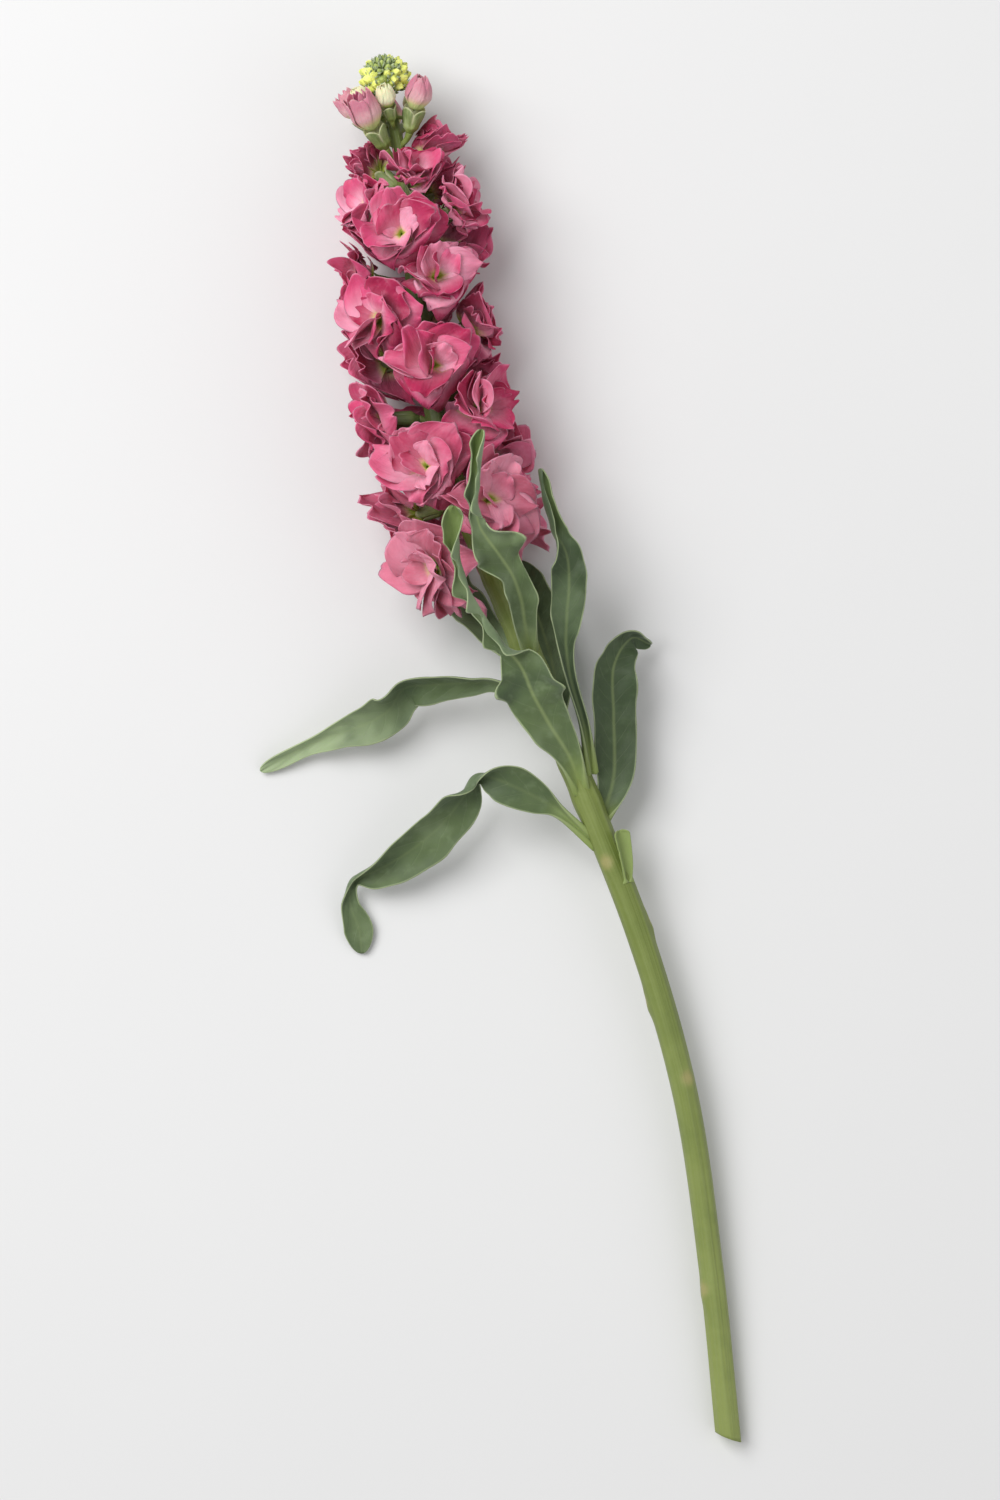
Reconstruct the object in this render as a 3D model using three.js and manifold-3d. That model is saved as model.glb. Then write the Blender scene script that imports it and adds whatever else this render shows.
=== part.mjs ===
// A cut stem of double-flowered stock, lying on a flat surface. Millimetres, +Z up.
// The stem runs along +Y from its cut end to the flower tip, and the box's bottom centre is the origin.
// Green parts that grow as one (stem, flower stalks, calyces) are one mesh; each leaf, floret and bud
// is a mesh of its own, seated about 0.3 mm clear of what carries it.
import * as THREE from "three";
import { mergeVertices } from "three/addons/utils/BufferGeometryUtils.js";
import Module from "manifold-3d";

const wasm = await Module();
wasm.setup();

// Driving dimensions of the flower spike. A pair of values runs from the lowest floret to the highest.
const FLORETS = 26;
const FLORET_SPAN = [0.595, 0.885]; // shares of the stem's length, cut end to tip
const GOLDEN_ANGLE = (137.5 * Math.PI) / 180;
const FIRST_AZIMUTH = (62 * Math.PI) / 180; // lowest floret, round the stem from straight up
const REACH = [17, 15]; // calyx mouth, out from the stem's centreline
const RISE = [6, 12]; // calyx mouth, along the stem from its stalk's root
const LEAN = [80, 62]; // floret's axis from the stem's, in degrees
const SIZE = [1.1, 0.98];
const YOUNG = { from: 0.72, reach: -6, lean: -30, size: -0.2, open: -0.3 }; // added towards the highest
const FURLED = 0.85; // a floret less open than this shows its outer petals alone
const LOWEST_MOUTH = 7.5; // a floret under the stem is bent up to this height
const HEART = 5; // middle of a floret's petals, above its calyx mouth
const SEAT_STRAY = { azimuth: 0.35, reach: 2.5, rise: 3, lean: 16 }; // full ranges: radians, mm, degrees

// Green stalks and calyces, and the claws that stand in a calyx. Depths are below the petals' common centre.
const SEAT_GAP = 0.35;
const CALYX_LENGTH = 10;
const CALYX_RADIUS = 3;
const CALYX_FOOT_RADIUS = 1.5;
const SEPAL_RISE = 1.2;
const PEDICEL_RADIUS = 1.1;
const STALK_SIDES = 6;
const STALK_ELBOW = { out: 0.45, along: 0.2 }; // where a stalk turns, as shares of its run from the stem
const RECESS_RADIUS = 2.3;
const RECESS_DEPTH = 5.6;
const RIM_DEPTH = 2.1;
const CLAW_DEPTH = 4.7;
const CLAW_SIDES = 4;
const CLAW_RADII = [1.5, 1.7];
const CLAW_HEIGHTS = [0.2, 3.2, 5.6];

// Petals and leaves as soft sheets
const PETAL_THICKNESS = 0.8;
const LEAF_THICKNESS = 1;
const PETAL_ROWS = [0, 0.6, 1]; // shares of a petal's length, claw to rim
const PETAL_OUTLINE = { past: 1.04, rounded: 0.15, curve: 2.1, narrowed: 0.38 };
const PETAL_WAVE = { height: 0.16, beats: 2.6, cup: 0.1 }; // heights as shares of the half width
const PETAL_TWIST = 0.36; // each petal's edge lies over its neighbour's
const DROOP = 22; // degrees that a bloom's lower petals lean out further, and its upper ones less
const HANG_LONGER = 0.16; // the lower petals' added share of length
const PETAL_STRAY = { turn: 0.3, lean: 16, bend: 36, long: 0.24, half: 0.24, twist: 0.3 }; // full ranges
const LEAF_WAVE = { height: 0.13, beats: 15, free: [0.1, 0.35] }; // height as a share of the half width
const LEAF_STATIONS = 1.15; // rows of the solid for each station of the leaf
const LEAF_COLUMNS = [-1, -0.5, 0, 0.5, 1]; // from one margin over the midrib to the other
const LEAF_ARCH = 0.25; // share of a leaf's fold that comes only towards the margin
const LEAF_TIP = 0.92; // share of a leaf's length where its tip narrows
const LEAF_END = 0.35; // width left at the end of the tip
const PRESS_DEPTH = 4; // a sheet this near the surface bends flat against it
const PRESS_REST = 1.5; // sets how soon it lies quite flat
const CRUSH = 0.3; // what a pressed petal loses to its flat spot
const FINEST = 0.1; // detail smaller than this is left off where petals cross
const NEIGHBOUR_SPAN = 44; // florets nearer than this share a dividing plane
const BUD_SPAN = 24; // florets nearer than this to a bud keep off it
const CROWD_DEPTH = 5; // petals this near a neighbouring floret bend back from it
const CROWD_GAP = 0.75;
const OVERHANG = 0.55; // how far an upper floret leans out over the one below it

// Centreline and radius of the stem: x, y, z, radius
const STEM_STEPS = 32;
const STEM_SIDES = 8;
const STEM = [
  [78, -238, 4.3, 4.3],
  [72, -180, 7.4, 4.2],
  [63, -120, 11, 4.3],
  [47, -64, 14.5, 4.5],
  [25, -8, 18.5, 4.6],
  [3, 46, 22, 4.4],
  [-19, 98, 25, 3.8],
  [-29, 152, 26, 3.3],
  [-33, 190, 25.5, 2.7],
  [-39, 222, 24.5, 1.7],
];

// Each leaf's stations, stalk to tip: x, y, z, half width, roll in degrees, fold along the midrib in degrees
const LEAVES = {
  leaf_upper_left: [
    [15, 12, 19, 2.2, 45, 35],
    [-1, 22, 20, 3.4, 45, 30],
    [-12, 22.6, 19.5, 5.4, 45, 28],
    [-24, 22, 17.5, 7, 45, 26],
    [-34, 20.8, 15, 7.6, 45, 24],
    [-39, 13.6, 12.8, 9, 20, 20],
    [-47, 8.6, 10.5, 7.6, 15, 20],
    [-57, 5, 7.6, 5.2, 20, 24],
    [-69, 0.4, 4.4, 3.6, 25, 30],
    [-84, -7.8, 1.6, 2.6, 20, 25],
  ],
  leaf_lower_left: [
    [33, -34, 16.5, 1.8, 0, 50],
    [20, -22, 20.5, 2.6, 10, 35],
    [12, -17, 22.5, 6, 5, 20],
    [3, -12.5, 24, 7.6, 10, 15],
    [-4, -9.8, 23.8, 6, 35, 25],
    [-9.8, -10, 22.5, 3.4, 70, 55],
    [-14, -17, 19.5, 8.4, 30, 24],
    [-22, -27, 15.5, 9.6, 25, 22],
    [-33, -35.8, 11, 8.6, 25, 26],
    [-44, -42.2, 8, 6.6, 35, 36],
    [-51.8, -45.5, 6, 3, 40, 50],
    [-53, -53.5, 4, 3.6, 5, 25],
    [-50, -62, 2.2, 5.2, 0, 15],
    [-48.8, -71, 0.9, 3.4, 0, 12],
  ],
  leaf_front_twisted: [
    [27, -15, 20, 3, 0, 45],
    [22.8, -3, 26.5, 5.2, 0, 30],
    [16, 8, 33, 8, 0, 18],
    [10.2, 18.5, 39, 9.8, 5, 16],
    [6, 28, 43.2, 8.6, 15, 22],
    [-0.6, 35.5, 46.3, 3.8, 55, 50],
    [-6.8, 44.5, 50, 2.8, 75, 60],
    [-11.8, 53, 54, 3.9, 50, 45],
    [-14.8, 62.5, 57.5, 3.2, 60, 60],
    [-16, 71.5, 60.5, 3.4, 35, 52],
    [-16.4, 81.5, 64, 4.8, 0, 26],
  ],
  leaf_front_strip: [
    [9.5, 32, 21, 2.5, 0, 40],
    [7.5, 42, 34, 4.6, -5, 30],
    [6, 51, 41.5, 5.8, -10, 28],
    [2.6, 59.5, 48, 5.8, -12, 26],
    [-2.6, 67, 53, 8.8, -10, 20],
    [-7.4, 74, 56.5, 5, 10, 38],
    [-9.4, 82, 59.5, 4, 30, 64],
    [-9, 90, 62, 3.8, 28, 66],
    [-8.2, 98.5, 64, 4, 22, 62],
    [-7.2, 107, 65.4, 4.2, 10, 52],
  ],
  leaf_left_behind: [
    [8, 29, 19, 3, 0, 30],
    [-3.5, 38.5, 14, 5, -10, 18],
    [-10, 46.5, 9.5, 6.4, -10, 14],
    [-16.5, 54, 6, 7, -10, 14],
    [-20.5, 63, 4.2, 6.4, -10, 18],
    [-22, 72, 3.4, 3.5, 0, 15],
  ],
  leaf_right_behind: [
    [18, 6, 16, 3, 0, 30],
    [18, 24, 11, 7, 5, 18],
    [14, 40, 7, 9, 5, 14],
    [9, 54, 4.5, 8, 5, 16],
    [5, 65, 3, 3.5, 5, 12],
  ],
  leaf_right_broad: [
    [33, -26, 15, 3, 0, 40],
    [38, -10, 15, 7, -10, 22],
    [38, 11, 16, 8.5, -10, 18],
    [38, 28, 17, 8, -15, 22],
    [44, 38, 14, 5.5, -35, 30],
    [51, 36, 10, 3, -50, 30],
  ],
  leaf_right_strip: [
    [30, -9, 19, 2.5, -30, 50],
    [27.5, 8, 24, 2.6, -20, 45],
    [23, 24, 29, 2.6, -10, 40],
    [21.5, 35, 31.5, 3.6, 0, 30],
    [21.8, 46, 34.5, 5.8, 0, 20],
    [22.5, 57, 37.5, 6.8, 5, 20],
    [21.5, 66, 39.5, 6, -10, 28],
    [17.5, 74, 41, 4.4, -40, 50],
    [14.5, 84, 42.5, 3.4, -50, 58],
    [12.5, 95, 43.5, 3, -50, 62],
  ],
  leaf_stub: [
    [42.8, -46, 18.6, 2, -30, 40],
    [41.8, -38.5, 19.5, 3.1, -30, 45],
    [39.8, -28, 20.5, 3.9, -30, 45],
  ],
};

// Petals of one floret, ring by ring: number, turn, length, half width, lean from the floret's axis and
// further bend in degrees, then the claw's foot and bend as distances out from the axis and along it.
// across has the places of its points from edge to edge, stray widens the chance differences, and draws
// is where the ring's chance numbers begin.
const PETAL_RINGS = [
  {
    count: 5, offset: 0, long: 20, half: 10.5, lean: 84, bend: 44,
    foot: [0.6, 0.9], claw: [1.5, 3], across: [-1, 0, 1], stray: 1, draws: 1000,
  },
  {
    count: 3, offset: 0.9, long: 14, half: 8.4, lean: 48, bend: 46,
    foot: [0.5, 2.2], claw: [1.3, 4], across: [-1, 1], stray: 2, draws: 9000,
  },
];

// Buds above the florets: shares of the stem's length, mouth out from it and along it, lean, and the bud's
// own size. keepOff is the radius that the petals of florets leave free.
const PINK_BUDS = {
  count: 4, before: FLORETS, span: [0.925, 0.95], reach: [12, 10.5], rise: [12, 11], lean: 32,
  scale: 0.9, long: [13, 10], radius: [5.2, 4.3], foot: 1.45, keepOff: 4.6,
};
const CREAM_BUDS = {
  count: 5, before: FLORETS + PINK_BUDS.count, span: [0.958, 0.985], reach: [9, 9.5], rise: [8, 4], lean: 32,
  scale: 0.62, long: [8, 6.4], radius: [3.3, 3.3], foot: 0.95, keepOff: 3.2,
};
const BUD_BALLS = [[5, 1], [-2, 0.8], [-7, 0.6]]; // kept free along a bud: height, and radius as a share
const BUD_FOOT_RINGS = [[-0.6, 1], [1.6, 1.05]]; // height, and radius as a share of the foot's
const BUD_RINGS = [[0.45, 1, 0.1], [0.75, 0.86, 0.25]]; // height and radius as shares, turn in radians
const BUD_FURL = [1.06, 0.92]; // radius at the middle of a furled petal and at its edge

// The head of young buds: their number, the head's middle above the stem's end, its core's radius, the buds'
// distance from the middle, their radius and how much longer than wide they are
const HEAD = { count: 12, rise: 8, core: 5.6, out: 5.9, bud: 2.75, stretch: 1.35 };
const HEAD_REACH = 1.5; // how far down the head the buds go, from 0 at its top to 2 at its bottom
const STEM_TIP = 2.05; // the stem's point reaches into the head's middle

// Scars on the bare lower stem: shares of its length, azimuth of the first, and sizes
const SCAR_PLACES = [0.1, 0.17, 0.235, 0.29, 0.34, 0.385];
const SCAR_FIRST = 1;
const SCAR = { sunk: 0.5, long: 2.2, wide: 1.6, root: 1, rise: 1.3 };
const CUT_SLANT = 0.5; // rise of the slanted cut across the stem

// A repeatable number from 0 to 1 for each whole number n.
function draw(n) {
  const x = n * n * 0.5698402909980532 + n * 0.7548776662466927;
  return x - Math.floor(x);
}

const vec = (a) => new THREE.Vector3(a[0], a[1], a[2]);
const radians = (d) => (d * Math.PI) / 180;
const mix = (a, b, t) => a + (b - a) * t;
const ease = (a, b, x) => {
  const t = Math.min(1, Math.max(0, (x - a) / (b - a)));
  return t * t * (3 - 2 * t);
};

// Uniform Catmull-Rom through rows of numbers, with the ends carried straight on.
function along(rows, t) {
  const n = rows.length - 1;
  const i = Math.min(n - 1, Math.max(0, Math.floor(t * n)));
  const f = t * n - i;
  const carriedOn = (end, inner) => end.map((x, j) => 2 * x - inner[j]);
  const row = (k) => {
    if (k < 0) return carriedOn(rows[0], rows[1]);
    return k > n ? carriedOn(rows[n], rows[n - 1]) : rows[k];
  };
  const [a, b, c, d] = [row(i - 1), row(i), row(i + 1), row(i + 2)];
  return b.map((x, j) => {
    const m0 = (c[j] - a[j]) / 2;
    const m1 = (d[j] - x) / 2;
    return x + f * (m0 + f * (3 * (c[j] - x) - 2 * m0 - m1 + f * (2 * (x - c[j]) + m0 + m1)));
  });
}

// Place, tangent, "up" and "side" directions at a share t of a route.
function frameAt(rows, t) {
  const step = 0.01;
  const at = along(rows, t);
  const tangent = vec(along(rows, t + step)).sub(vec(along(rows, t - step))).normalize();
  const side = new THREE.Vector3(0, 0, 1).cross(tangent).normalize();
  const up = tangent.clone().cross(side);
  return { at: vec(at), tangent, up, side, rest: at.slice(3) };
}

// A closed mesh as a manifold-3d solid, and back.
function solidOf(geometry) {
  const g = geometry.clone();
  g.deleteAttribute("normal");
  g.deleteAttribute("uv");
  const merged = mergeVertices(g, 1e-4);
  // A row of a sheet that ends in a point leaves faces of no area, which are dropped.
  const corners = merged.index.array;
  const kept = [];
  for (let i = 0; i < corners.length; i += 3) {
    const [a, b, c] = corners.slice(i, i + 3);
    if (a !== b && b !== c && c !== a) kept.push(a, b, c);
  }
  return new wasm.Manifold(
    new wasm.Mesh({
      numProp: 3,
      vertProperties: new Float32Array(merged.attributes.position.array),
      triVerts: new Uint32Array(kept),
    }),
  );
}

function geometryOf(solid) {
  const mesh = solid.getMesh();
  const g = new THREE.BufferGeometry();
  g.setAttribute("position", new THREE.BufferAttribute(mesh.vertProperties, 3));
  g.setIndex(new THREE.BufferAttribute(mesh.triVerts, 1));
  g.computeVertexNormals();
  return g;
}

function geometryFrom(points, faces) {
  const g = new THREE.BufferGeometry();
  g.setAttribute("position", new THREE.Float32BufferAttribute(points.flatMap((p) => [p.x, p.y, p.z]), 3));
  g.setIndex(faces);
  return g;
}

// The largest body of a solid; a scrap that a cut leaves loose is dropped.
function whole(solid) {
  return solid.decompose().reduce((a, b) => (a.volume() > b.volume() ? a : b));
}

// A closed tube over rings of points that all hold the same number, with a point at each end.
function tube(rings, first, last) {
  const n = rings[0].length;
  const points = [first, ...rings.flat(), last];
  const faces = [];
  const id = (r, k) => 1 + r * n + (k % n);
  for (let k = 0; k < n; k++) faces.push(0, id(0, k + 1), id(0, k));
  for (let r = 0; r + 1 < rings.length; r++)
    for (let k = 0; k < n; k++)
      faces.push(id(r, k), id(r, k + 1), id(r + 1, k + 1), id(r, k), id(r + 1, k + 1), id(r + 1, k));
  const end = rings.length - 1;
  for (let k = 0; k < n; k++) faces.push(points.length - 1, id(end, k), id(end, k + 1));
  return geometryFrom(points, faces);
}

// A ring of points round a centre, in the plane of two directions.
function ring(centre, a, b, radius, sides) {
  return Array.from({ length: sides }, (_, k) => {
    const turn = (2 * Math.PI * k) / sides;
    const r = typeof radius === "function" ? radius(k) : radius;
    return centre
      .clone()
      .addScaledVector(a, r * Math.cos(turn))
      .addScaledVector(b, r * Math.sin(turn));
  });
}

// A closed sheet of even thickness over a grid of mid-surface points, split alike on both faces.
function sheet(grid, thickness) {
  const [rows, columns] = [grid.length, grid[0].length];
  const normals = grid.map((row, i) =>
    row.map((p, j) => {
      const du = grid[Math.min(i + 1, rows - 1)][j].clone().sub(grid[Math.max(i - 1, 0)][j]);
      const dv = grid[i][Math.min(j + 1, columns - 1)].clone().sub(grid[i][Math.max(j - 1, 0)]);
      return du.cross(dv).normalize();
    }),
  );
  const face = (offset) =>
    grid.flatMap((row, i) => row.map((p, j) => p.clone().addScaledVector(normals[i][j], offset)));
  const points = [...face(thickness / 2), ...face(-thickness / 2)];
  const half = rows * columns;
  const id = (i, j) => i * columns + j;
  const faces = [];
  for (let i = 0; i + 1 < rows; i++)
    for (let j = 0; j + 1 < columns; j++) {
      const [a, b, c, d] = [id(i, j), id(i + 1, j), id(i + 1, j + 1), id(i, j + 1)];
      faces.push(a, b, c, a, c, d);
      faces.push(half + a, half + c, half + b, half + a, half + d, half + c);
    }
  const rim = [];
  for (let i = 0; i < rows - 1; i++) rim.push(id(i, 0));
  for (let j = 0; j < columns - 1; j++) rim.push(id(rows - 1, j));
  for (let i = rows - 1; i > 0; i--) rim.push(id(i, columns - 1));
  for (let j = columns - 1; j > 0; j--) rim.push(id(0, j));
  rim.forEach((a, k) => {
    const b = rim[(k + 1) % rim.length];
    faces.push(a, half + a, half + b, a, half + b, b);
  });
  return geometryFrom(points, faces);
}

// Heights near the surface are pressed together, in order, so that soft blades lie flat on it.
function press(z, least) {
  if (z > PRESS_DEPTH) return z;
  const room = PRESS_DEPTH + PRESS_REST;
  return Math.max(room * Math.exp((z - PRESS_DEPTH) / room) - PRESS_REST, least);
}

// Balls along a bud and its stalk, which the florets' petals keep off.
function ballsOf(kind) {
  return budSeats(kind).flatMap(({ mouth, axis }) =>
    BUD_BALLS.map(([h, share]) => ({
      centre: mouth.clone().addScaledVector(axis, h),
      radius: share * kind.keepOff,
    })),
  );
}

// A direction square to the stem, turned round it from straight up.
function outward({ up, side }, azimuth) {
  return up.clone().multiplyScalar(Math.cos(azimuth)).addScaledVector(side, Math.sin(azimuth));
}

// A stalk's root, calyx mouth and axes, from its place on the stem.
function seatAt(t, azimuth, reach, rise, lean) {
  const frame = frameAt(STEM, t);
  const { at: root, tangent } = frame;
  const out = outward(frame, azimuth);
  const axis = tangent.clone().multiplyScalar(Math.cos(lean)).addScaledVector(out, Math.sin(lean));
  const mouth = root.clone().addScaledVector(tangent, rise).addScaledVector(out, reach);
  mouth.z = Math.max(mouth.z, LOWEST_MOUTH);
  const across = tangent.clone().cross(axis).normalize();
  return { root, tangent, out, axis, mouth, across, along: axis.clone().cross(across) };
}

// Where the buds sit, on the spiral that the florets begin.
function budSeats({ count, before, span, reach, rise, lean }) {
  return Array.from({ length: count }, (_, i) => {
    const f = i / (count - 1);
    const azimuth = FIRST_AZIMUTH + (before + i) * GOLDEN_ANGLE;
    return seatAt(mix(...span, f), azimuth, mix(...reach, f), mix(...rise, f), radians(lean));
  });
}

// Where each floret sits: its calyx mouth, axis and the planes that part it from its neighbours.
function floretSeats(balls) {
  const seats = Array.from({ length: FLORETS }, (_, i) => {
    const f = i / (FLORETS - 1);
    const young = ease(YOUNG.from, 1, f);
    const stray = (key, by) => (draw(i + key) - 0.5) * by;
    const seat = seatAt(
      mix(...FLORET_SPAN, f),
      FIRST_AZIMUTH + i * GOLDEN_ANGLE + stray(1, SEAT_STRAY.azimuth),
      mix(...REACH, f) + YOUNG.reach * young + stray(40, SEAT_STRAY.reach),
      mix(...RISE, f) + stray(80, SEAT_STRAY.rise),
      radians(mix(...LEAN, f) + YOUNG.lean * young + stray(120, SEAT_STRAY.lean)),
    );
    return { ...seat, size: mix(...SIZE, f) + YOUNG.size * young, open: 1 + YOUNG.open * young };
  });
  seats.forEach((s) => (s.heart = s.mouth.clone().addScaledVector(s.axis, HEART)));
  seats.forEach((s, i) => {
    s.walls = [];
    seats.forEach((o, j) => {
      const span = o.heart.clone().sub(s.heart);
      if (i === j || span.length() > NEIGHBOUR_SPAN) return;
      const place = s.heart.clone().addScaledVector(span, s.size / (s.size + o.size));
      const higher = j > i ? o : s;
      const way = span.normalize().addScaledVector(higher.out, j > i ? -OVERHANG : OVERHANG);
      // The plane leans the same way for both florets, so one plane parts the pair.
      s.walls.push({ place, way: way.normalize() });
    });
    balls.forEach(({ centre, radius }) => {
      const way = centre.clone().sub(s.heart);
      if (way.length() > BUD_SPAN) return;
      way.normalize();
      s.walls.push({ place: centre.clone().addScaledVector(way, -radius), way });
    });
  });
  return seats;
}

// Bends a petal's point back from the neighbouring florets and buds, and from the surface below: first
// gently, then as often as it takes to stay inside every dividing plane.
function settle(p, walls, least) {
  for (let pass = 0; pass < 4; pass++)
    for (const { place, way } of walls) {
      const inside = place.clone().sub(p).dot(way);
      if (inside >= CROWD_DEPTH) continue;
      const room = CROWD_DEPTH - CROWD_GAP;
      const gentle = CROWD_GAP + room * Math.exp((inside - CROWD_DEPTH) / room);
      if (pass === 0) p.addScaledVector(way, inside - gentle);
      else if (inside < CROWD_GAP) p.addScaledVector(way, inside - CROWD_GAP);
    }
  p.z = press(p.z, least);
  return p;
}

// One petal's mid-surface, as a function of u from claw to rim and v from edge to edge (-1 to 1).
function petalPoint(seat, ringOf, k, key, u, v) {
  const stray = (n, by) => (draw(key + n) - 0.5) * by;
  const even = (2 * Math.PI * (k + ringOf.offset)) / ringOf.count;
  const turn = even + stray(0, PETAL_STRAY.turn * ringOf.stray);
  const { across, along } = seat;
  const away = across.clone().multiplyScalar(Math.cos(turn)).addScaledVector(along, Math.sin(turn));
  const sideways = across.clone().multiplyScalar(-Math.sin(turn)).addScaledVector(along, Math.cos(turn));
  const hang = -away.dot(seat.tangent);
  const leanStray = stray(1, PETAL_STRAY.lean * ringOf.stray);
  const lean = radians(ringOf.lean * seat.open + DROOP * hang + leanStray);
  const end = lean + radians(ringOf.bend + stray(2, PETAL_STRAY.bend));
  const long = ringOf.long * seat.size * (1 + stray(3, PETAL_STRAY.long) + HANG_LONGER * hang);
  const half = ringOf.half * seat.size * (1 + stray(4, PETAL_STRAY.half));
  const shape = PETAL_OUTLINE;
  const e = u * (shape.past - shape.rounded * v * v);
  const c1 = ringOf.claw;
  const c2 = [c1[0] + 0.5 * long * Math.sin(lean), c1[1] + 0.5 * long * Math.cos(lean)];
  const c3 = [c2[0] + 0.5 * long * Math.sin(end), c2[1] + 0.5 * long * Math.cos(end)];
  const bezier = (m) => {
    const a = ringOf.foot[m];
    return a * (1 - e) ** 3 + 3 * c1[m] * e * (1 - e) ** 2 + 3 * c2[m] * e * e * (1 - e) + c3[m] * e ** 3;
  };
  const slope = mix(lean * 0.6, end, e);
  const beat = Math.sin(PETAL_WAVE.beats * v + 6.28 * draw(key + 5));
  const wave = half * e * (PETAL_WAVE.height * beat + PETAL_WAVE.cup * v * v);
  const width = half * Math.sin(shape.curve * u) * (1 - shape.narrowed * u ** 6) * v;
  const twist = PETAL_TWIST + stray(6, PETAL_STRAY.twist * ringOf.stray);
  const lift = wave + width * Math.sin(twist);
  return seat.mouth
    .clone()
    .addScaledVector(away, bezier(0) - Math.cos(slope) * lift)
    .addScaledVector(seat.axis, bezier(1) + Math.sin(slope) * lift)
    .addScaledVector(sideways, width * Math.cos(twist));
}

// The claws of a floret stand together in a short spindle that fits the calyx's recess.
function clawSpindle(seat) {
  const at = (h) => seat.mouth.clone().addScaledVector(seat.axis, h);
  const rings = CLAW_RADII.map((r, i) => ring(at(CLAW_HEIGHTS[i]), seat.across, seat.along, r, CLAW_SIDES));
  return tube(rings, at(-CLAW_DEPTH), at(CLAW_HEIGHTS[2]));
}

// A floret: the claws' spindle and two rings of petals, joined.
function floret(seat, index) {
  let solid = solidOf(clawSpindle(seat));
  const least = PETAL_THICKNESS / 2 - CRUSH;
  for (const ringOf of seat.open < FURLED ? PETAL_RINGS.slice(0, 1) : PETAL_RINGS)
    for (let k = 0; k < ringOf.count; k++) {
      const key = ringOf.draws + index * 100 + k * 8;
      const grid = PETAL_ROWS.map((u) =>
        ringOf.across.map((v) => settle(petalPoint(seat, ringOf, k, key, u, v), seat.walls, least)),
      );
      solid = solid.add(solidOf(sheet(grid, PETAL_THICKNESS)));
    }
  const bloom = solid.simplify(FINEST);
  return bloom.boundingBox().min[2] < 0 ? bloom.subtract(solidOf(surface())) : bloom;
}

// The ground that the stem lies on, for trimming flat what is pressed against it.
function surface() {
  return new THREE.BoxGeometry(400, 600, 10).translate(0, 0, -5);
}

// A flower stalk and its calyx: out of the stem, up to the mouth, and down into the recess for the claws.
function stalk({ root, mouth, axis, across, along, out, tangent }, scale) {
  const base = mouth.clone().addScaledVector(axis, -CALYX_LENGTH * scale);
  const run = base.clone().sub(root);
  const elbow = root
    .clone()
    .addScaledVector(out, STALK_ELBOW.out * run.dot(out))
    .addScaledVector(tangent, STALK_ELBOW.along * run.dot(tangent));
  run.normalize();
  const flatA = run.clone().cross(along).normalize();
  const flatB = run.clone().cross(flatA);
  const at = (h) => mouth.clone().addScaledVector(axis, h);
  const sides = STALK_SIDES;
  const rim = (r) =>
    ring(at(-RIM_DEPTH * scale), across, along, r * scale, sides).map((p, k) =>
      p.addScaledVector(axis, k % 2 ? 0 : SEPAL_RISE * scale),
    );
  const rings = [
    ring(root, flatA, flatB, PEDICEL_RADIUS * scale, sides),
    ring(elbow, flatA, flatB, PEDICEL_RADIUS * scale, sides),
    ring(base, across, along, CALYX_FOOT_RADIUS * scale, sides),
    ring(at((-CALYX_LENGTH / 2) * scale), across, along, CALYX_RADIUS * scale, sides),
    rim(CALYX_RADIUS),
    rim(RECESS_RADIUS),
  ];
  // Rings start at the same corner, so each is turned to the nearest corner of the one before it.
  for (let r = 1; r < rings.length; r++) {
    const before = rings[r - 1];
    const corner = (k, s) => rings[r][(k + s) % sides];
    const cost = (s) => before.reduce((sum, p, k) => sum + corner(k, s).distanceTo(p), 0);
    const best = [...Array(sides).keys()].reduce((a, b) => (cost(b) < cost(a) ? b : a));
    rings[r] = rings[r].map((_, k) => corner(k, best));
  }
  return tube(rings, root.clone().addScaledVector(run, -0.4), at(-RECESS_DEPTH * scale));
}

// The stem itself, with a slanted cut at its foot; grow widens it, for cutting a seat.
function stemTube(grow) {
  const rings = [];
  for (let i = 0; i <= STEM_STEPS; i++) {
    const { at, tangent, up, side, rest } = frameAt(STEM, i / STEM_STEPS);
    const one = ring(at, side, up, rest[0] + grow, STEM_SIDES);
    if (i === 0) one.forEach((p) => p.addScaledVector(tangent, CUT_SLANT * p.clone().sub(at).dot(side)));
    rings.push(one);
  }
  const foot = frameAt(STEM, 0).at;
  const tip = frameAt(STEM, 1);
  return tube(rings, foot, tip.at.clone().addScaledVector(tip.tangent, STEM_TIP));
}

// Low scars on the bare lower stem, where leaves were stripped.
function scars() {
  return SCAR_PLACES.map((t, i) => {
    const frame = frameAt(STEM, t);
    const { at, tangent, rest } = frame;
    const out = outward(frame, SCAR_FIRST + i * GOLDEN_ANGLE);
    const across = tangent.clone().cross(out);
    const centre = at.clone().addScaledVector(out, rest[0] - SCAR.sunk);
    const around = [ring(centre, tangent, across, (k) => (k % 2 ? SCAR.wide : SCAR.long), 6)];
    const root = centre.clone().addScaledVector(out, -SCAR.root);
    return tube(around, root, centre.clone().addScaledVector(out, SCAR.rise));
  });
}

// A bud: a spindle of furled petals whose foot fits the calyx's recess.
function bud({ mouth, axis, across, along }, length, radius, foot) {
  const at = (h) => mouth.clone().addScaledVector(axis, h);
  const furled = (h, r, turn) => {
    const a = across.clone().multiplyScalar(Math.cos(turn)).addScaledVector(along, Math.sin(turn));
    return ring(at(h), a, axis.clone().cross(a), (k) => r * BUD_FURL[k % 2], 8);
  };
  const rings = [
    ...BUD_FOOT_RINGS.map(([h, share]) => furled(h, foot * share, 0)),
    ...BUD_RINGS.map(([high, wide, turn]) => furled(length * high, radius * wide, turn)),
  ];
  return tube(rings, at(-foot * 3), at(length));
}

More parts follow.
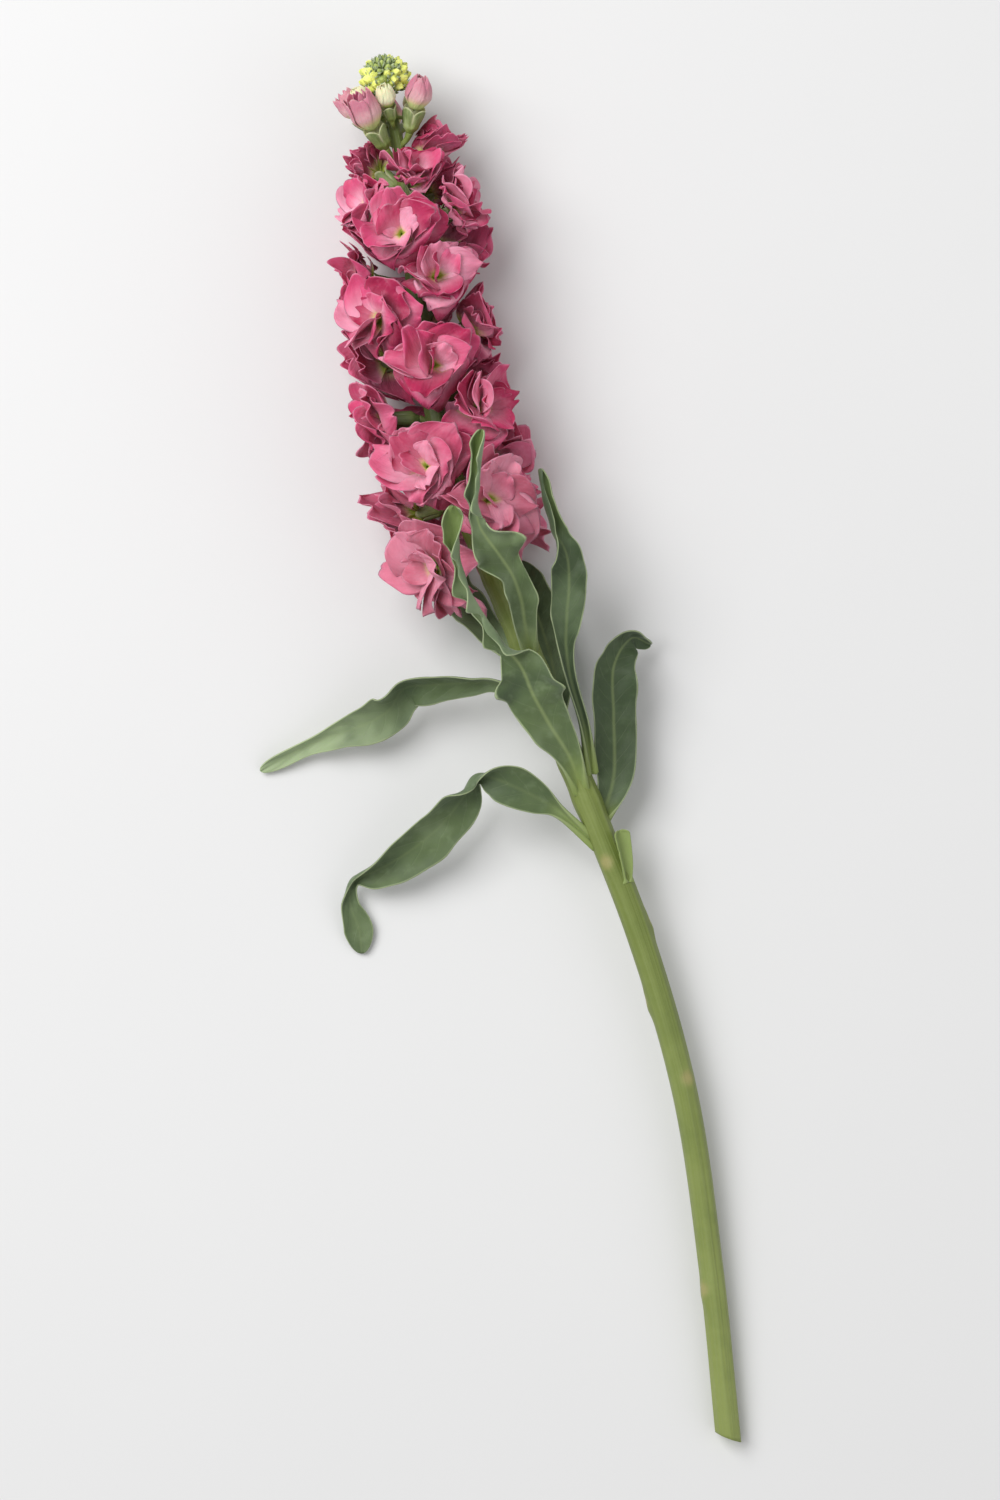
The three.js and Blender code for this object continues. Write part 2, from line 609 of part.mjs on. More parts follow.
// The crowded head of young buds at the tip, round a small core.
function budHead() {
  const { at, tangent, up, side } = frameAt(STEM, 1);
  const centre = at.clone().addScaledVector(tangent, HEAD.rise);
  let solid = solidOf(new THREE.IcosahedronGeometry(HEAD.core, 1).translate(centre.x, centre.y, centre.z));
  for (let i = 0; i < HEAD.count; i++) {
    const high = 1 - (HEAD_REACH * (i + 0.5)) / HEAD.count;
    const flat = Math.sqrt(1 - high * high);
    const way = outward({ up, side }, i * GOLDEN_ANGLE).multiplyScalar(flat).addScaledVector(tangent, high);
    const place = centre.clone().addScaledVector(way, HEAD.out);
    const young = new THREE.IcosahedronGeometry(HEAD.bud, 0).scale(1, 1, HEAD.stretch);
    young.applyQuaternion(new THREE.Quaternion().setFromUnitVectors(new THREE.Vector3(0, 0, 1), way));
    solid = solid.add(solidOf(young.translate(place.x, place.y, place.z)));
  }
  return solid;
}

// A leaf's mid-surface: t runs along the midrib, v from edge to edge; roll turns the blade about the midrib,
// fold lifts both halves, and the margin waves.
function leafPoint(rows, index, t, v) {
  const { at, tangent, up, side, rest } = frameAt(rows, t);
  const [half, roll, fold] = rest;
  const a = radians(roll);
  const face = up.clone().multiplyScalar(Math.cos(a)).addScaledVector(side, Math.sin(a));
  const across = tangent.clone().cross(face);
  const reach = Math.abs(v);
  const lift = radians(fold) * mix(1 - LEAF_ARCH, 1, reach);
  const beat = Math.sin(LEAF_WAVE.beats * t + 2 * index + (v > 0 ? 0 : 2));
  const wave = LEAF_WAVE.height * half * reach * beat * ease(...LEAF_WAVE.free, t);
  const wide = half * mix(1, LEAF_END, Math.max(0, t - LEAF_TIP) / (1 - LEAF_TIP));
  return at
    .clone()
    .addScaledVector(across, wide * v * Math.cos(lift))
    .addScaledVector(face, wide * reach * Math.sin(lift) + wave);
}

function leaf(rows, index, stations) {
  const grid = [];
  for (let i = 0; i <= stations; i++)
    grid.push(
      LEAF_COLUMNS.map((v) => {
        const p = leafPoint(rows, index, i / stations, v);
        p.z = press(p.z, LEAF_THICKNESS / 2);
        return p;
      }),
    );
  return sheet(grid, LEAF_THICKNESS);
}

// Assembly
const colours = {
  stem: 0x8fa050,
  leaf: 0x5f7a4a,
  petal: 0xc9567f,
  bud_pink: 0xd98a9c,
  bud_cream: 0xe3e2b4,
  head: 0xb9cc6a,
};
const group = new THREE.Group();
function place(name, solid, colour) {
  const material = new THREE.MeshStandardMaterial({ color: colour, roughness: 0.6, metalness: 0 });
  const mesh = new THREE.Mesh(geometryOf(whole(solid)), material);
  mesh.name = name;
  group.add(mesh);
}
const numbered = (word, i) => word + "_" + String(i + 1).padStart(2, "0");

const seats = floretSeats([...ballsOf(PINK_BUDS), ...ballsOf(CREAM_BUDS)]);

let green = solidOf(stemTube(0));
for (const scar of scars()) green = green.add(solidOf(scar));
for (const seat of seats) green = green.add(solidOf(stalk(seat, 1)));
for (const kind of [PINK_BUDS, CREAM_BUDS])
  for (const seat of budSeats(kind)) green = green.add(solidOf(stalk(seat, kind.scale)));
place("stem", green, colours.stem);

const seatCutter = solidOf(stemTube(SEAT_GAP));
Object.entries(LEAVES).forEach(([name, rows], i) => {
  const stations = Math.round(rows.length * LEAF_STATIONS);
  place(name, solidOf(leaf(rows, i, stations)).subtract(seatCutter), colours.leaf);
});
seats.forEach((seat, i) => place(numbered("floret", i), floret(seat, i), colours.petal));
for (const [name, kind] of Object.entries({ bud_pink: PINK_BUDS, bud_cream: CREAM_BUDS }))
  budSeats(kind).forEach((seat, i) => {
    const f = i / (kind.count - 1);
    const shape = bud(seat, mix(...kind.long, f), mix(...kind.radius, f), kind.foot);
    place(numbered(name, i), solidOf(shape), colours[name]);
  });
place("bud_head", budHead(), colours.head);

export default group;
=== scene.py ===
# A cut stem of double-flowered stock lies on a pale surface and is seen from straight above.
# Shapes are worked out in millimetres, as the solids are, and turn to metres when a mesh is made.
from types import SimpleNamespace

import bpy
import numpy as np
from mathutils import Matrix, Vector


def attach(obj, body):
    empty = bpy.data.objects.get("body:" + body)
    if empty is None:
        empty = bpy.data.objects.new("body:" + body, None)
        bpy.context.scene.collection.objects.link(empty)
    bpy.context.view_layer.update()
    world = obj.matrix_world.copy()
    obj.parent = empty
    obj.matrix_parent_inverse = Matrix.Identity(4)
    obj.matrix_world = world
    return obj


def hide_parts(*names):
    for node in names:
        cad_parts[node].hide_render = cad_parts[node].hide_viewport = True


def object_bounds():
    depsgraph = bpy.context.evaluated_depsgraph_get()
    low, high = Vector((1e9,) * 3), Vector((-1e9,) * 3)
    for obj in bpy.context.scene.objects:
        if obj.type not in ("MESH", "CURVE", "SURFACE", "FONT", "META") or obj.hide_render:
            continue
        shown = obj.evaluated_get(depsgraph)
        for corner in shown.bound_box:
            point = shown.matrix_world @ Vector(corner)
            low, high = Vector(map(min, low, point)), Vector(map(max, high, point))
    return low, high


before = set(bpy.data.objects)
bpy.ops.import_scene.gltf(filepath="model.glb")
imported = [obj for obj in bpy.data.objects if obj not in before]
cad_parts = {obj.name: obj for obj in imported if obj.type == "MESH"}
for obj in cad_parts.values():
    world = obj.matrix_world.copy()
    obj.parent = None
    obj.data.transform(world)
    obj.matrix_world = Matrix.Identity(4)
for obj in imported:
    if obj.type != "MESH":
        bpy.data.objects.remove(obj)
cad_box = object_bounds()


# The stem. A fleshy green stalk, faintly ribbed, that was cut on the slant at its foot and bears low scars
# where its lower leaves were stripped. It runs up through the flower spike into the head of young buds.
MM = 0.001
STEM_ROUTE = [  # centreline and radius: x, y, z, radius
    [78, -238, 4.3, 4.3],
    [72, -180, 7.4, 4.2],
    [63, -120, 11, 4.3],
    [47, -64, 14.5, 4.5],
    [25, -8, 18.5, 4.6],
    [3, 46, 22, 4.4],
    [-19, 98, 25, 3.8],
    [-29, 152, 26, 3.3],
    [-33, 190, 25.5, 2.7],
    [-39, 222, 24.5, 1.7],
]
STEM_LENGTH = 480
STEM_RINGS = 420
STEM_SIDES = 44
STEM_TIP = 2.05  # how far the tip stands past the last ring
CUT_SLANT = 0.5  # slope of the cut across the stem
CUT_REACH = 3  # how far up the rings still lean with it
CUT_RINGS = [0.3, 0.6, 0.82, 0.93, 0.985]  # shares of the radius on the cut face
CUT_DISH = 0.5  # how far the cut face has shrunk in
RIBS = 7
RIB_HEIGHT = 0.026  # share of the radius
GOLDEN_ANGLE = np.radians(137.5)
SCAR_PLACES = [0.1, 0.17, 0.235, 0.29, 0.34, 0.385]
SCAR_FIRST = 1.0  # azimuth of the first scar, in radians from straight up
SCAR_HALF = 2.3  # half the width of a scar round the stem
SCAR_PAD = 0.975  # height of the cushion that a leaf stood on
SCAR_SUNK = 0.35  # depth of the scar in it
LEAF_NODES = [0.425, 0.452, 0.478, 0.512, 0.535, 0.56, 0.58]  # where leaves and the first stalks grow
NODE_SWELL = 0.45  # how far the stem swells there, and over what length
NODE_HALF = 4.5
SHADE_FROM = [0.085, 0.11]  # metres up the part where the blooms begin to keep the light off the green
SHADE_TO = [0.17, 0.2]  # and where they cease to
GREEN_GLOW = (1.0, 1.0, 0.4)  # how far red, green and blue light wander inside green tissue


def unit(v):
    """Vectors divided by their own lengths."""
    return v / np.linalg.norm(v, axis=-1, keepdims=True)


def all_round(sides):
    """The angles of equal steps once round a circle."""
    return 2 * np.pi * np.arange(sides) / sides


def spun(turn, a, b):
    """Directions at angles from a towards b, which are square to each other: a times the cosine plus b
    times the sine."""
    return np.cos(turn)[..., None] * a + np.sin(turn)[..., None] * b


def along(rows, t):
    """Catmull-Rom through rows of numbers: each stretch is a cubic whose end slopes are half the difference
    of the rows on either side, and the two ends are carried straight on."""
    rows = np.asarray(rows, float)
    last = len(rows) - 1
    padded = np.vstack([2 * rows[0] - rows[1], rows, 2 * rows[-1] - rows[-2]])
    i = np.clip(np.floor(t * last).astype(int), 0, last - 1)
    f = (t * last - i)[:, None]
    a, b, c, d = (padded[i + k] for k in range(4))
    m0 = (c - a) / 2
    m1 = (d - b) / 2
    return b + f * (m0 + f * (3 * (c - b) - 2 * m0 - m1 + f * (2 * (b - c) + m0 + m1)))


def frames(rows, t):
    """Places, tangents, side and up directions at shares t of a route, and the rest of its rows. The side
    lies level, square to the tangent, and up completes the three."""
    step = 0.01
    at = along(rows, t)
    tangent = unit(along(rows, t + step)[:, :3] - along(rows, t - step)[:, :3])
    side = unit(np.cross([0, 0, 1], tangent))
    return at[:, :3], tangent, side, np.cross(tangent, side), at[:, 3:]


def grid_faces(rows, columns, closed=False):
    """Four-cornered faces over a grid of points numbered row by row. A closed grid's last column meets its
    first. The faces look along (column direction) x (row direction)."""
    i, j = np.meshgrid(np.arange(rows - 1), np.arange(columns - (not closed)), indexing="ij")
    after = (j + 1) % columns
    corners = [i * columns + j, i * columns + after, (i + 1) * columns + after, (i + 1) * columns + j]
    return np.stack(corners, -1).reshape(-1, 4)


def tube(first, rings, last):
    """Points and faces of a closed tube: a pole, rings of points, and a pole. Each ring turns
    counter-clockwise round the way that the tube runs, so the faces look out."""
    count, sides = rings.shape[:2]
    k = np.arange(sides)
    after = (k + 1) % sides
    end = 1 + count * sides
    foot = np.stack([0 * k, 1 + after, 1 + k], -1)
    tip = np.stack([0 * k + end, end - sides + k, end - sides + after], -1)
    points = np.vstack([first[None], rings.reshape(-1, 3), last[None]])
    return points, [1 + grid_faces(count, sides, True), foot, tip]


def with_poles(values, first, last):
    """A tube's numbers in the order of its points: the first pole's, its rings' and the last pole's."""
    return np.concatenate([[first], values.reshape(-1, *values.shape[2:]), [last]])


def joined(parts):
    """One body of points, faces and layers out of several: each part's corner numbers are moved past the
    points that come before it."""
    faces = []
    start = 0
    for points, own, _ in parts:
        faces += [f + start for f in own]
        start += len(points)
    layers = {key: np.concatenate([p[2][key] for p in parts]) for key in parts[0][2]}
    return np.vstack([p[0] for p in parts]), faces, layers


def mesh_piece(name, body, material):
    """A mesh object out of a body: its points in millimetres, its arrays of faces and its layers. A layer
    keeps one number, or three, at each point, for the material to read."""
    points, faces, layers = body
    mesh = bpy.data.meshes.new(name)
    corners = np.concatenate([f.ravel() for f in faces])
    sizes = np.concatenate([np.full(len(f), f.shape[1]) for f in faces])
    mesh.vertices.add(len(points))
    mesh.vertices.foreach_set("co", (points * MM).ravel())
    mesh.loops.add(len(corners))
    mesh.loops.foreach_set("vertex_index", corners.astype(np.int32))
    mesh.polygons.add(len(sizes))
    mesh.polygons.foreach_set("loop_start", (np.cumsum(sizes) - sizes).astype(np.int32))
    mesh.update(calc_edges=True)
    mesh.shade_smooth()
    for key, values in layers.items():
        kind, field = ("FLOAT", "value") if values.ndim == 1 else ("FLOAT_VECTOR", "vector")
        layer = mesh.attributes.new(key, kind, "POINT")
        layer.data.foreach_set(field, values.astype(np.float32).ravel())
    mesh.materials.append(material)
    piece = bpy.data.objects.new(name, mesh)
    bpy.context.scene.collection.objects.link(piece)
    return piece


def colour(code):
    """A colour's screen code as the linear red, green, blue and alpha that a shader takes."""
    c = np.array([code >> 16, code >> 8 & 255, code & 255]) / 255
    linear = np.where(c > 0.04045, ((c + 0.055) / 1.055) ** 2.4, c / 12.92)
    return (*linear.tolist(), 1.0)


def node(tree, kind, output=0, settings=None, **inputs):
    """Adds a node and gives back one of its outputs. An input is named, or numbered as in0, in1. It takes
    another node's output or a value; a whole number is a colour's screen code."""
    made = tree.nodes.new("ShaderNode" + kind)
    for key, value in (settings or {}).items():
        setattr(made, key, value)
    for key, value in inputs.items():
        socket = made.inputs[int(key[2:]) if key[2:].isdigit() else key.replace("_", " ")]
        if isinstance(value, bpy.types.NodeSocket):
            tree.links.new(value, socket)
        else:
            socket.default_value = colour(value) if isinstance(value, int) else value
    return made.outputs[output]


def maths(tree, operation, a, b=0.0):
    """A sum of the named kind, done with two numbers."""
    return node(tree, "Math", 0, {"operation": operation}, in0=a, in1=b)


def times(tree, a, b):
    """Two numbers multiplied."""
    return maths(tree, "MULTIPLY", a, b)


def mixed(tree, share, a, b):
    """Colour a turned towards colour b by a share."""
    return node(tree, "Mix", 2, {"data_type": "RGBA"}, in0=share, in6=a, in7=b)


def step_between(tree, value, low, high, start=0.0, end=1.0):
    """A number eased from start to end while value goes from low to high."""
    settings = {"interpolation_type": "SMOOTHSTEP"}
    return node(tree, "MapRange", 0, settings, in0=value, in1=low, in2=high, in3=start, in4=end)


def blended(tree, value, low, high, a, b, most=1.0):
    """Colour a eased to colour b, or a share of the way there, while value goes from low to high."""
    return mixed(tree, step_between(tree, value, low, high, 0.0, most), a, b)


def layer(tree, name, output=1):
    """A layer of the mesh, as a vector, or with output 2 as a number."""
    return node(tree, "Attribute", output, {"attribute_name": name})


def parts_of(tree, vector):
    """The three numbers of a vector."""
    split = tree.nodes.new("ShaderNodeSeparateXYZ")
    tree.links.new(vector, split.inputs[0])
    return split.outputs


def shader_group(name, inputs, outputs):
    """An empty node group with named inputs and outputs, and its own input and output nodes."""
    group = bpy.data.node_groups.new(name, "ShaderNodeTree")
    for label, kind in inputs.items():
        group.interface.new_socket(label, in_out="INPUT", socket_type="NodeSocket" + kind)
    for label, kind in outputs.items():
        group.interface.new_socket(label, in_out="OUTPUT", socket_type="NodeSocket" + kind)
    return group, group.nodes.new("NodeGroupInput").outputs, group.nodes.new("NodeGroupOutput").inputs


def mottle_group():
    """Living tissue is never one flat colour: broad cloudy patches and a fine speckle lighten and darken it.
    Also gives the speckle's height for a bump."""
    group, given, result = shader_group(
        "tissue mottle",
        {"Colour": "Color", "Dark": "Color", "Light": "Color", "Amount": "Float", "Size": "Float"},
        {"Colour": "Color", "Height": "Float"},
    )
    place = node(group, "TexCoord", 3)
    broad = node(group, "TexNoise", Vector=place, Scale=given["Size"], Detail=3.0, Roughness=0.55)
    fine_scale = times(group, given["Size"], 7.0)
    fine = node(group, "TexNoise", Vector=place, Scale=fine_scale, Detail=2.0, Roughness=0.6)
    darker = times(group, step_between(group, broad, 0.55, 0.3), given["Amount"])
    lighter = times(group, step_between(group, broad, 0.5, 0.72), given["Amount"])
    speckle = times(group, step_between(group, fine, 0.5, 0.75), given["Amount"])
    shade = mixed(group, darker, given["Colour"], given["Dark"])
    shade = mixed(group, lighter, shade, given["Light"])
    speckled = mixed(group, times(group, speckle, 0.25), shade, given["Light"])
    group.links.new(speckled, result["Colour"])
    group.links.new(fine, result["Height"])
    return group


MOTTLE = mottle_group()


def mottled(tree, base, dark, light, amount, size):
    """The mottle group placed in a material: its colour and its height."""
    settings = {"node_tree": MOTTLE}
    shade = node(tree, "Group", 0, settings, Colour=base, Dark=dark, Light=light, Amount=amount, Size=size)
    return shade, shade.node.outputs["Height"]


def fibre_group():
    """Fine lines that run with the growth of a stem, petal or leaf: noise that is drawn out along one
    direction of a surface, given as a vector whose third number runs with the lines."""
    group, given, result = shader_group(
        "growth fibres",
        {"Surface": "Vector", "Fineness": "Float", "Stretch": "Float"},
        {"Lines": "Float"},
    )
    stretch = node(group, "CombineXYZ", X=given["Fineness"], Y=given["Fineness"], Z=given["Stretch"])
    drawn = node(group, "VectorMath", 0, {"operation": "MULTIPLY"}, in0=given["Surface"], in1=stretch)
    lines = node(group, "TexNoise", Vector=drawn, Scale=1.0, Detail=2.0, Roughness=0.5)
    group.links.new(step_between(group, lines, 0.3, 0.7), result["Lines"])
    return group


FIBRES = fibre_group()


def fibres(tree, surface, fineness, stretch):
    """The fibre group placed in a material."""
    settings = {"node_tree": FIBRES}
    return node(tree, "Group", 0, settings, Surface=surface, Fineness=fineness, Stretch=stretch)


def new_material(name):
    """A new material and its node tree."""
    material = bpy.data.materials.new(name)
    material.use_nodes = True
    return material, material.node_tree


def dressed(material, base, height, bump, roughness, specular, glow=(), sheen=()):
    """Gives the material's own shader its colour and its bump, and sets its constants on the sockets. bump
    is a strength and a depth in metres; glow is the weight, scale in metres and reach by colour of the light
    that wanders inside the tissue; sheen is the weight, roughness and tint of its down."""
    tree = material.node_tree
    shader = tree.nodes["Principled BSDF"]
    tree.links.new(base, shader.inputs["Base Color"])
    normal = node(tree, "Bump", Height=height, Strength=bump[0], Distance=bump[1])
    tree.links.new(normal, shader.inputs["Normal"])
    constants = {"Roughness": roughness, "Specular IOR Level": specular}
    constants |= dict(zip(("Subsurface Weight", "Subsurface Scale", "Subsurface Radius"), glow))
    constants |= dict(zip(("Sheen Weight", "Sheen Roughness", "Sheen Tint"), sheen))
    for key, value in constants.items():
        shader.inputs[key].default_value = value
    return material


def painted_spike_shade(tree, green):
    """Painted shade: stem and stalk green made darker where the blooms in the middle of the spike keep the
    light off.
    """
    up_part = parts_of(tree, node(tree, "TexCoord", 3))[1]
    from_below = step_between(tree, up_part, *SHADE_FROM)
    deeper = times(tree, from_below, step_between(tree, up_part, *reversed(SHADE_TO), 0.0, 0.7))
    return mixed(tree, deeper, green, 0x3F4A26)


def stem_material():
    """Yellow-green skin with fine lines, paler towards the foot, with pale scars and a pithy cut face."""
    material, tree = new_material("stem skin")
    skin = layer(tree, "skin")
    up_stem = parts_of(tree, skin)[2]
    lines = fibres(tree, skin, 5.0, 7.0)
    lower = blended(tree, up_stem, 0.0, 0.35, 0x87934E, 0x707E3A)
    green = blended(tree, up_stem, 0.35, 0.7, lower, 0x6C7B32)
    lined = mixed(tree, times(tree, lines, 0.45), green, 0x89965A)
    shade, grain = mottled(tree, lined, 0x607036, 0x8E9A5C, 0.3, 60.0)
    # Painted shade: the skin's green is darker in the middle of the spike.
    scarred = mixed(tree, layer(tree, "scar", 2), painted_spike_shade(tree, shade), 0x9A955F)
    cut = layer(tree, "cut", 2)
    pith = blended(tree, cut, 0.35, 0.6, 0x9DB262, 0xDDE2BA)
    faced = blended(tree, cut, 0.02, 0.1, scarred, pith)
    height = maths(tree, "ADD", lines, grain)
    glow = (0.12, 0.0015, GREEN_GLOW)
    return dressed(material, faced, height, (0.35, 0.0004), roughness=0.5, specular=0.4, glow=glow)


def stem_shape():
    """Rings round the centreline. The radius is the route's, times 1 plus two cosines round it for the ribs,
    which drift slowly. A Gaussian swelling is added at each leaf's node and a cushion at each scar, and the
    scar itself, a blurred oval, is taken off. The first rings lean back for the slanted, dished cut."""
    t = np.linspace(0, 1, STEM_RINGS)
    at, tangent, side, up, rest = frames(STEM_ROUTE, t)
    turn = all_round(STEM_SIDES)
    row, column = np.meshgrid(t, turn, indexing="ij")
    ribs = np.cos(RIBS * column + 2.2 * np.sin(5 * row)) + 0.5 * np.cos(4 * column - 3 * row + 1)
    radius = rest * (1 + RIB_HEIGHT * ribs)
    for place in LEAF_NODES:
        radius += NODE_SWELL * np.exp(-(((row - place) * STEM_LENGTH / NODE_HALF) ** 2))
    scar = np.zeros_like(radius)
    for i, place in enumerate(SCAR_PLACES):
        azimuth = np.pi / 2 - (SCAR_FIRST + i * GOLDEN_ANGLE)
        round_it = np.angle(np.exp(1j * (column - azimuth))) * rest / SCAR_HALF
        up_it = (row - place) * STEM_LENGTH / (1.5 + 0.8 * np.cos(round_it))
        scar += np.exp(-((up_it**2 + round_it**2) ** 1.6))
        radius += SCAR_PAD * np.exp(-(((up_it + 0.5) / 1.8) ** 2) - (round_it / 1.15) ** 2)
    radius -= SCAR_SUNK * scar
    rings = at[:, None] + spun(turn, side[:, None], up[:, None]) * radius[..., None]
    lean_back = np.exp(-t * STEM_LENGTH / CUT_REACH)[:, None]
    slant = CUT_SLANT * lean_back * ((rings - at[:, None]) * side[:, None]).sum(-1)
    rings = rings + slant[..., None] * tangent[:, None]
    rings[..., 2] = np.maximum(rings[..., 2], 0)
    shares = np.array(CUT_RINGS)[:, None]
    dish = CUT_DISH * (1 - shares**2) * (shares < CUT_RINGS[-1])
    face = at[0] + shares[..., None] * (rings[0] - at[0])[None] + dish[..., None] * tangent[0]
    foot = at[0] + CUT_DISH * tangent[0]
    points, faces = tube(foot, np.concatenate([face, rings]), at[-1] + STEM_TIP * tangent[-1])
    ring_count = len(CUT_RINGS) + STEM_RINGS
    skin = np.zeros((ring_count, STEM_SIDES, 3))
    skin[..., 0] = np.cos(turn)
    skin[..., 1] = np.sin(turn)
    skin[len(CUT_RINGS):, :, 2] = t[:, None]
    cut = np.zeros((ring_count, STEM_SIDES))
    cut[: len(CUT_RINGS)] = 1.05 - shares
    scars = np.zeros((ring_count, STEM_SIDES))
    scars[len(CUT_RINGS):] = np.minimum(scar, 1)
    return points, faces, {
        "skin": with_poles(skin, np.zeros(3), [0, 0, 1]),
        "cut": with_poles(cut, 1.0, 0.0),
        "scar": with_poles(scars, 0.0, 0.0),
    }


stem = mesh_piece("stem_skin", stem_shape(), stem_material())
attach(stem, "root")
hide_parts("stem")


# The flower stalks with their calyces. Each bloom and bud stands on a short green stalk that curves out of
# the stem; its calyx is a narrow cup of four upright sepals, grey-green with pale edges, round the claws.
FLORETS = 26
FLORET_SPAN = [0.595, 0.885]
FIRST_AZIMUTH = np.radians(62)
REACH = [17, 15]  # how far a calyx's mouth stands out from the stem, at the lowest floret and the highest
RISE = [6, 12]  # and how far up from the stalk's root
LEAN = [80, 62]  # degrees from the stem's way to the bloom's
SIZE = [1.1, 0.98]
YOUNG = {"start": 0.72, "reach": -6, "lean": -30, "size": -0.2, "open": -0.3}  # added near the spike's top
LOWEST_MOUTH = 7.5  # height above the surface
HEART = 5  # from a calyx's mouth to the middle of its bloom
PINK_BUDS = {
    "name": "bud_pink", "count": 4, "before": FLORETS,
    "span": [0.925, 0.95], "reach": [12, 10.5], "rise": [12, 11], "lean": 32,
    "scale": 0.9, "long": [13, 10], "radius": [5.2, 4.3], "foot": 1.45, "keep_off": 4.6,
    "loose": [0.9, 0.4, 0.2, 0.75],  # from 0, shut, to 1, half open
}
CREAM_BUDS = {
    "name": "bud_cream", "count": 5, "before": FLORETS + 4,
    "span": [0.958, 0.985], "reach": [9, 9.5], "rise": [8, 4], "lean": 32,
    "scale": 0.62, "long": [8, 6.4], "radius": [3.3, 3.3], "foot": 0.95, "keep_off": 3.2,
    "loose": [0.35] * 5,
}
CALYX_LENGTH = 10
CALYX_RADIUS = 3
PEDICEL_RADIUS = 1.1
SEPAL_RISE = 2.6  # of a sepal's tip over the seams beside it
RIM_DEPTH = 2.4  # of the seams' ends below the mouth
SEPAL_THICK = 0.35
THROAT_DEPTH = 5.0
THROAT_RADIUS = 1.9
INNER_RINGS = 6
BUD_FLARE = 1.45  # how far a bud spreads its calyx
STALK_SIDES = 14
STALK_RINGS = 16
CALYX_SIDES = 40
CALYX_RINGS = 16


def mix(a, b, t):
    """The value a share t of the way from a to b."""
    return a + (b - a) * t


def ease(low, high, x):
    """0 below low and 1 above high, with a smooth step between."""
    t = np.clip((x - low) / (high - low), 0, 1)
    return t * t * (3 - 2 * t)


def draw(n):
    """A repeatable number from 0 to 1 for each n: the fraction of a quadratic with irrational factors."""
    return np.mod(n * n * 0.5698402909980532 + n * 0.7548776662466927, 1.0)


def seat_at(t, azimuth, reach, rise, lean):
    """A stalk's root on the stem, the calyx's mouth out from it, and the axes there. The bloom's axis leans
    from the stem's tangent towards the outward direction."""
    root, tangent, side, up, _ = (a[0] for a in frames(STEM_ROUTE, np.array([t])))
    out = np.cos(azimuth) * up + np.sin(azimuth) * side
    axis = np.cos(lean) * tangent + np.sin(lean) * out
    mouth = root + rise * tangent + reach * out
    mouth[2] = max(mouth[2], LOWEST_MOUTH)
    across = unit(np.cross(tangent, axis))
    turned = {"across": across, "along": np.cross(axis, across)}
    return SimpleNamespace(root=root, tangent=tangent, out=out, axis=axis, mouth=mouth, **turned)


def bud_seats(kind):
    """Buds go on up the spiral that the florets begin, each turned by the golden angle from the last."""
    seats = []
    for i in range(kind["count"]):
        f = i / (kind["count"] - 1)
        place, reach, rise = (mix(*kind[key], f) for key in ("span", "reach", "rise"))
        azimuth = FIRST_AZIMUTH + (kind["before"] + i) * GOLDEN_ANGLE
        seat = seat_at(place, azimuth, reach, rise, np.radians(kind["lean"]))
        seat.share = f
        seat.number = i
        seats.append(seat)
    return seats


def floret_seats():
    """Florets climb the stem in a golden-angle spiral, each strayed a little; towards the top they are
    younger, and so smaller, closer and less open."""
    seats = []
    for i in range(FLORETS):
        f = i / (FLORETS - 1)
        young = ease(YOUNG["start"], 1, f)
        stray = lambda key, by: (draw(i + key) - 0.5) * by
        seat = seat_at(
            mix(*FLORET_SPAN, f),
            FIRST_AZIMUTH + i * GOLDEN_ANGLE + stray(1, 0.35),
            mix(*REACH, f) + YOUNG["reach"] * young + stray(40, 2.5),
            mix(*RISE, f) + stray(80, 3),
            np.radians(mix(*LEAN, f) + YOUNG["lean"] * young + stray(120, 16)),
        )
        seat.size = mix(*SIZE, f) + YOUNG["size"] * young
        seat.open = 1 + YOUNG["open"] * young
        seat.heart = seat.mouth + HEART * seat.axis
        seat.share = f
        seats.append(seat)
    return seats


FLORET_SEATS = floret_seats()
BUD_SEATS = [(kind, seat) for kind in (PINK_BUDS, CREAM_BUDS) for seat in bud_seats(kind)]


def bezier(a, b, c, d, t):
    """A cubic Bezier curve: four numbers or places, each weighted by its power of t and of 1 - t."""
    return a * (1 - t) ** 3 + 3 * b * t * (1 - t) ** 2 + 3 * c * t**2 * (1 - t) + d * t**3


def stalk(seat, scale):
    """A round tube along a cubic Bezier curve from inside the stem to the calyx's foot, where it runs with
    the bloom's axis."""
    base = seat.mouth - CALYX_LENGTH * scale * seat.axis
    run = base - seat.root
    elbow = seat.root + 0.45 * run.dot(seat.out) * seat.out + 0.2 * run.dot(seat.tangent) * seat.tangent
    before = base - 0.3 * np.linalg.norm(run) * seat.axis
    t = np.linspace(0, 1, STALK_RINGS)[:, None]
    centre = bezier(seat.root, elbow, before, base, t)
    way = unit(np.gradient(centre, axis=0))
    a = unit(seat.across - (way * seat.across).sum(-1, keepdims=True) * way)
    b = np.cross(way, a)
    turn = all_round(STALK_SIDES)
    radius = scale * PEDICEL_RADIUS * (0.95 + 0.45 * t[:, 0] ** 3)
    rings = centre[:, None] + radius[:, None, None] * spun(turn, a[:, None], b[:, None])
    points, faces = tube(seat.root, rings, base + 0.5 * seat.axis)
    skin = np.stack(np.broadcast_arrays(np.cos(turn)[None], np.sin(turn)[None], 0.2 * t), -1)
    none = np.zeros(len(points))
    return points, faces, {"skin": with_poles(skin, np.zeros(3), np.zeros(3)), "seam": none, "tip": none}


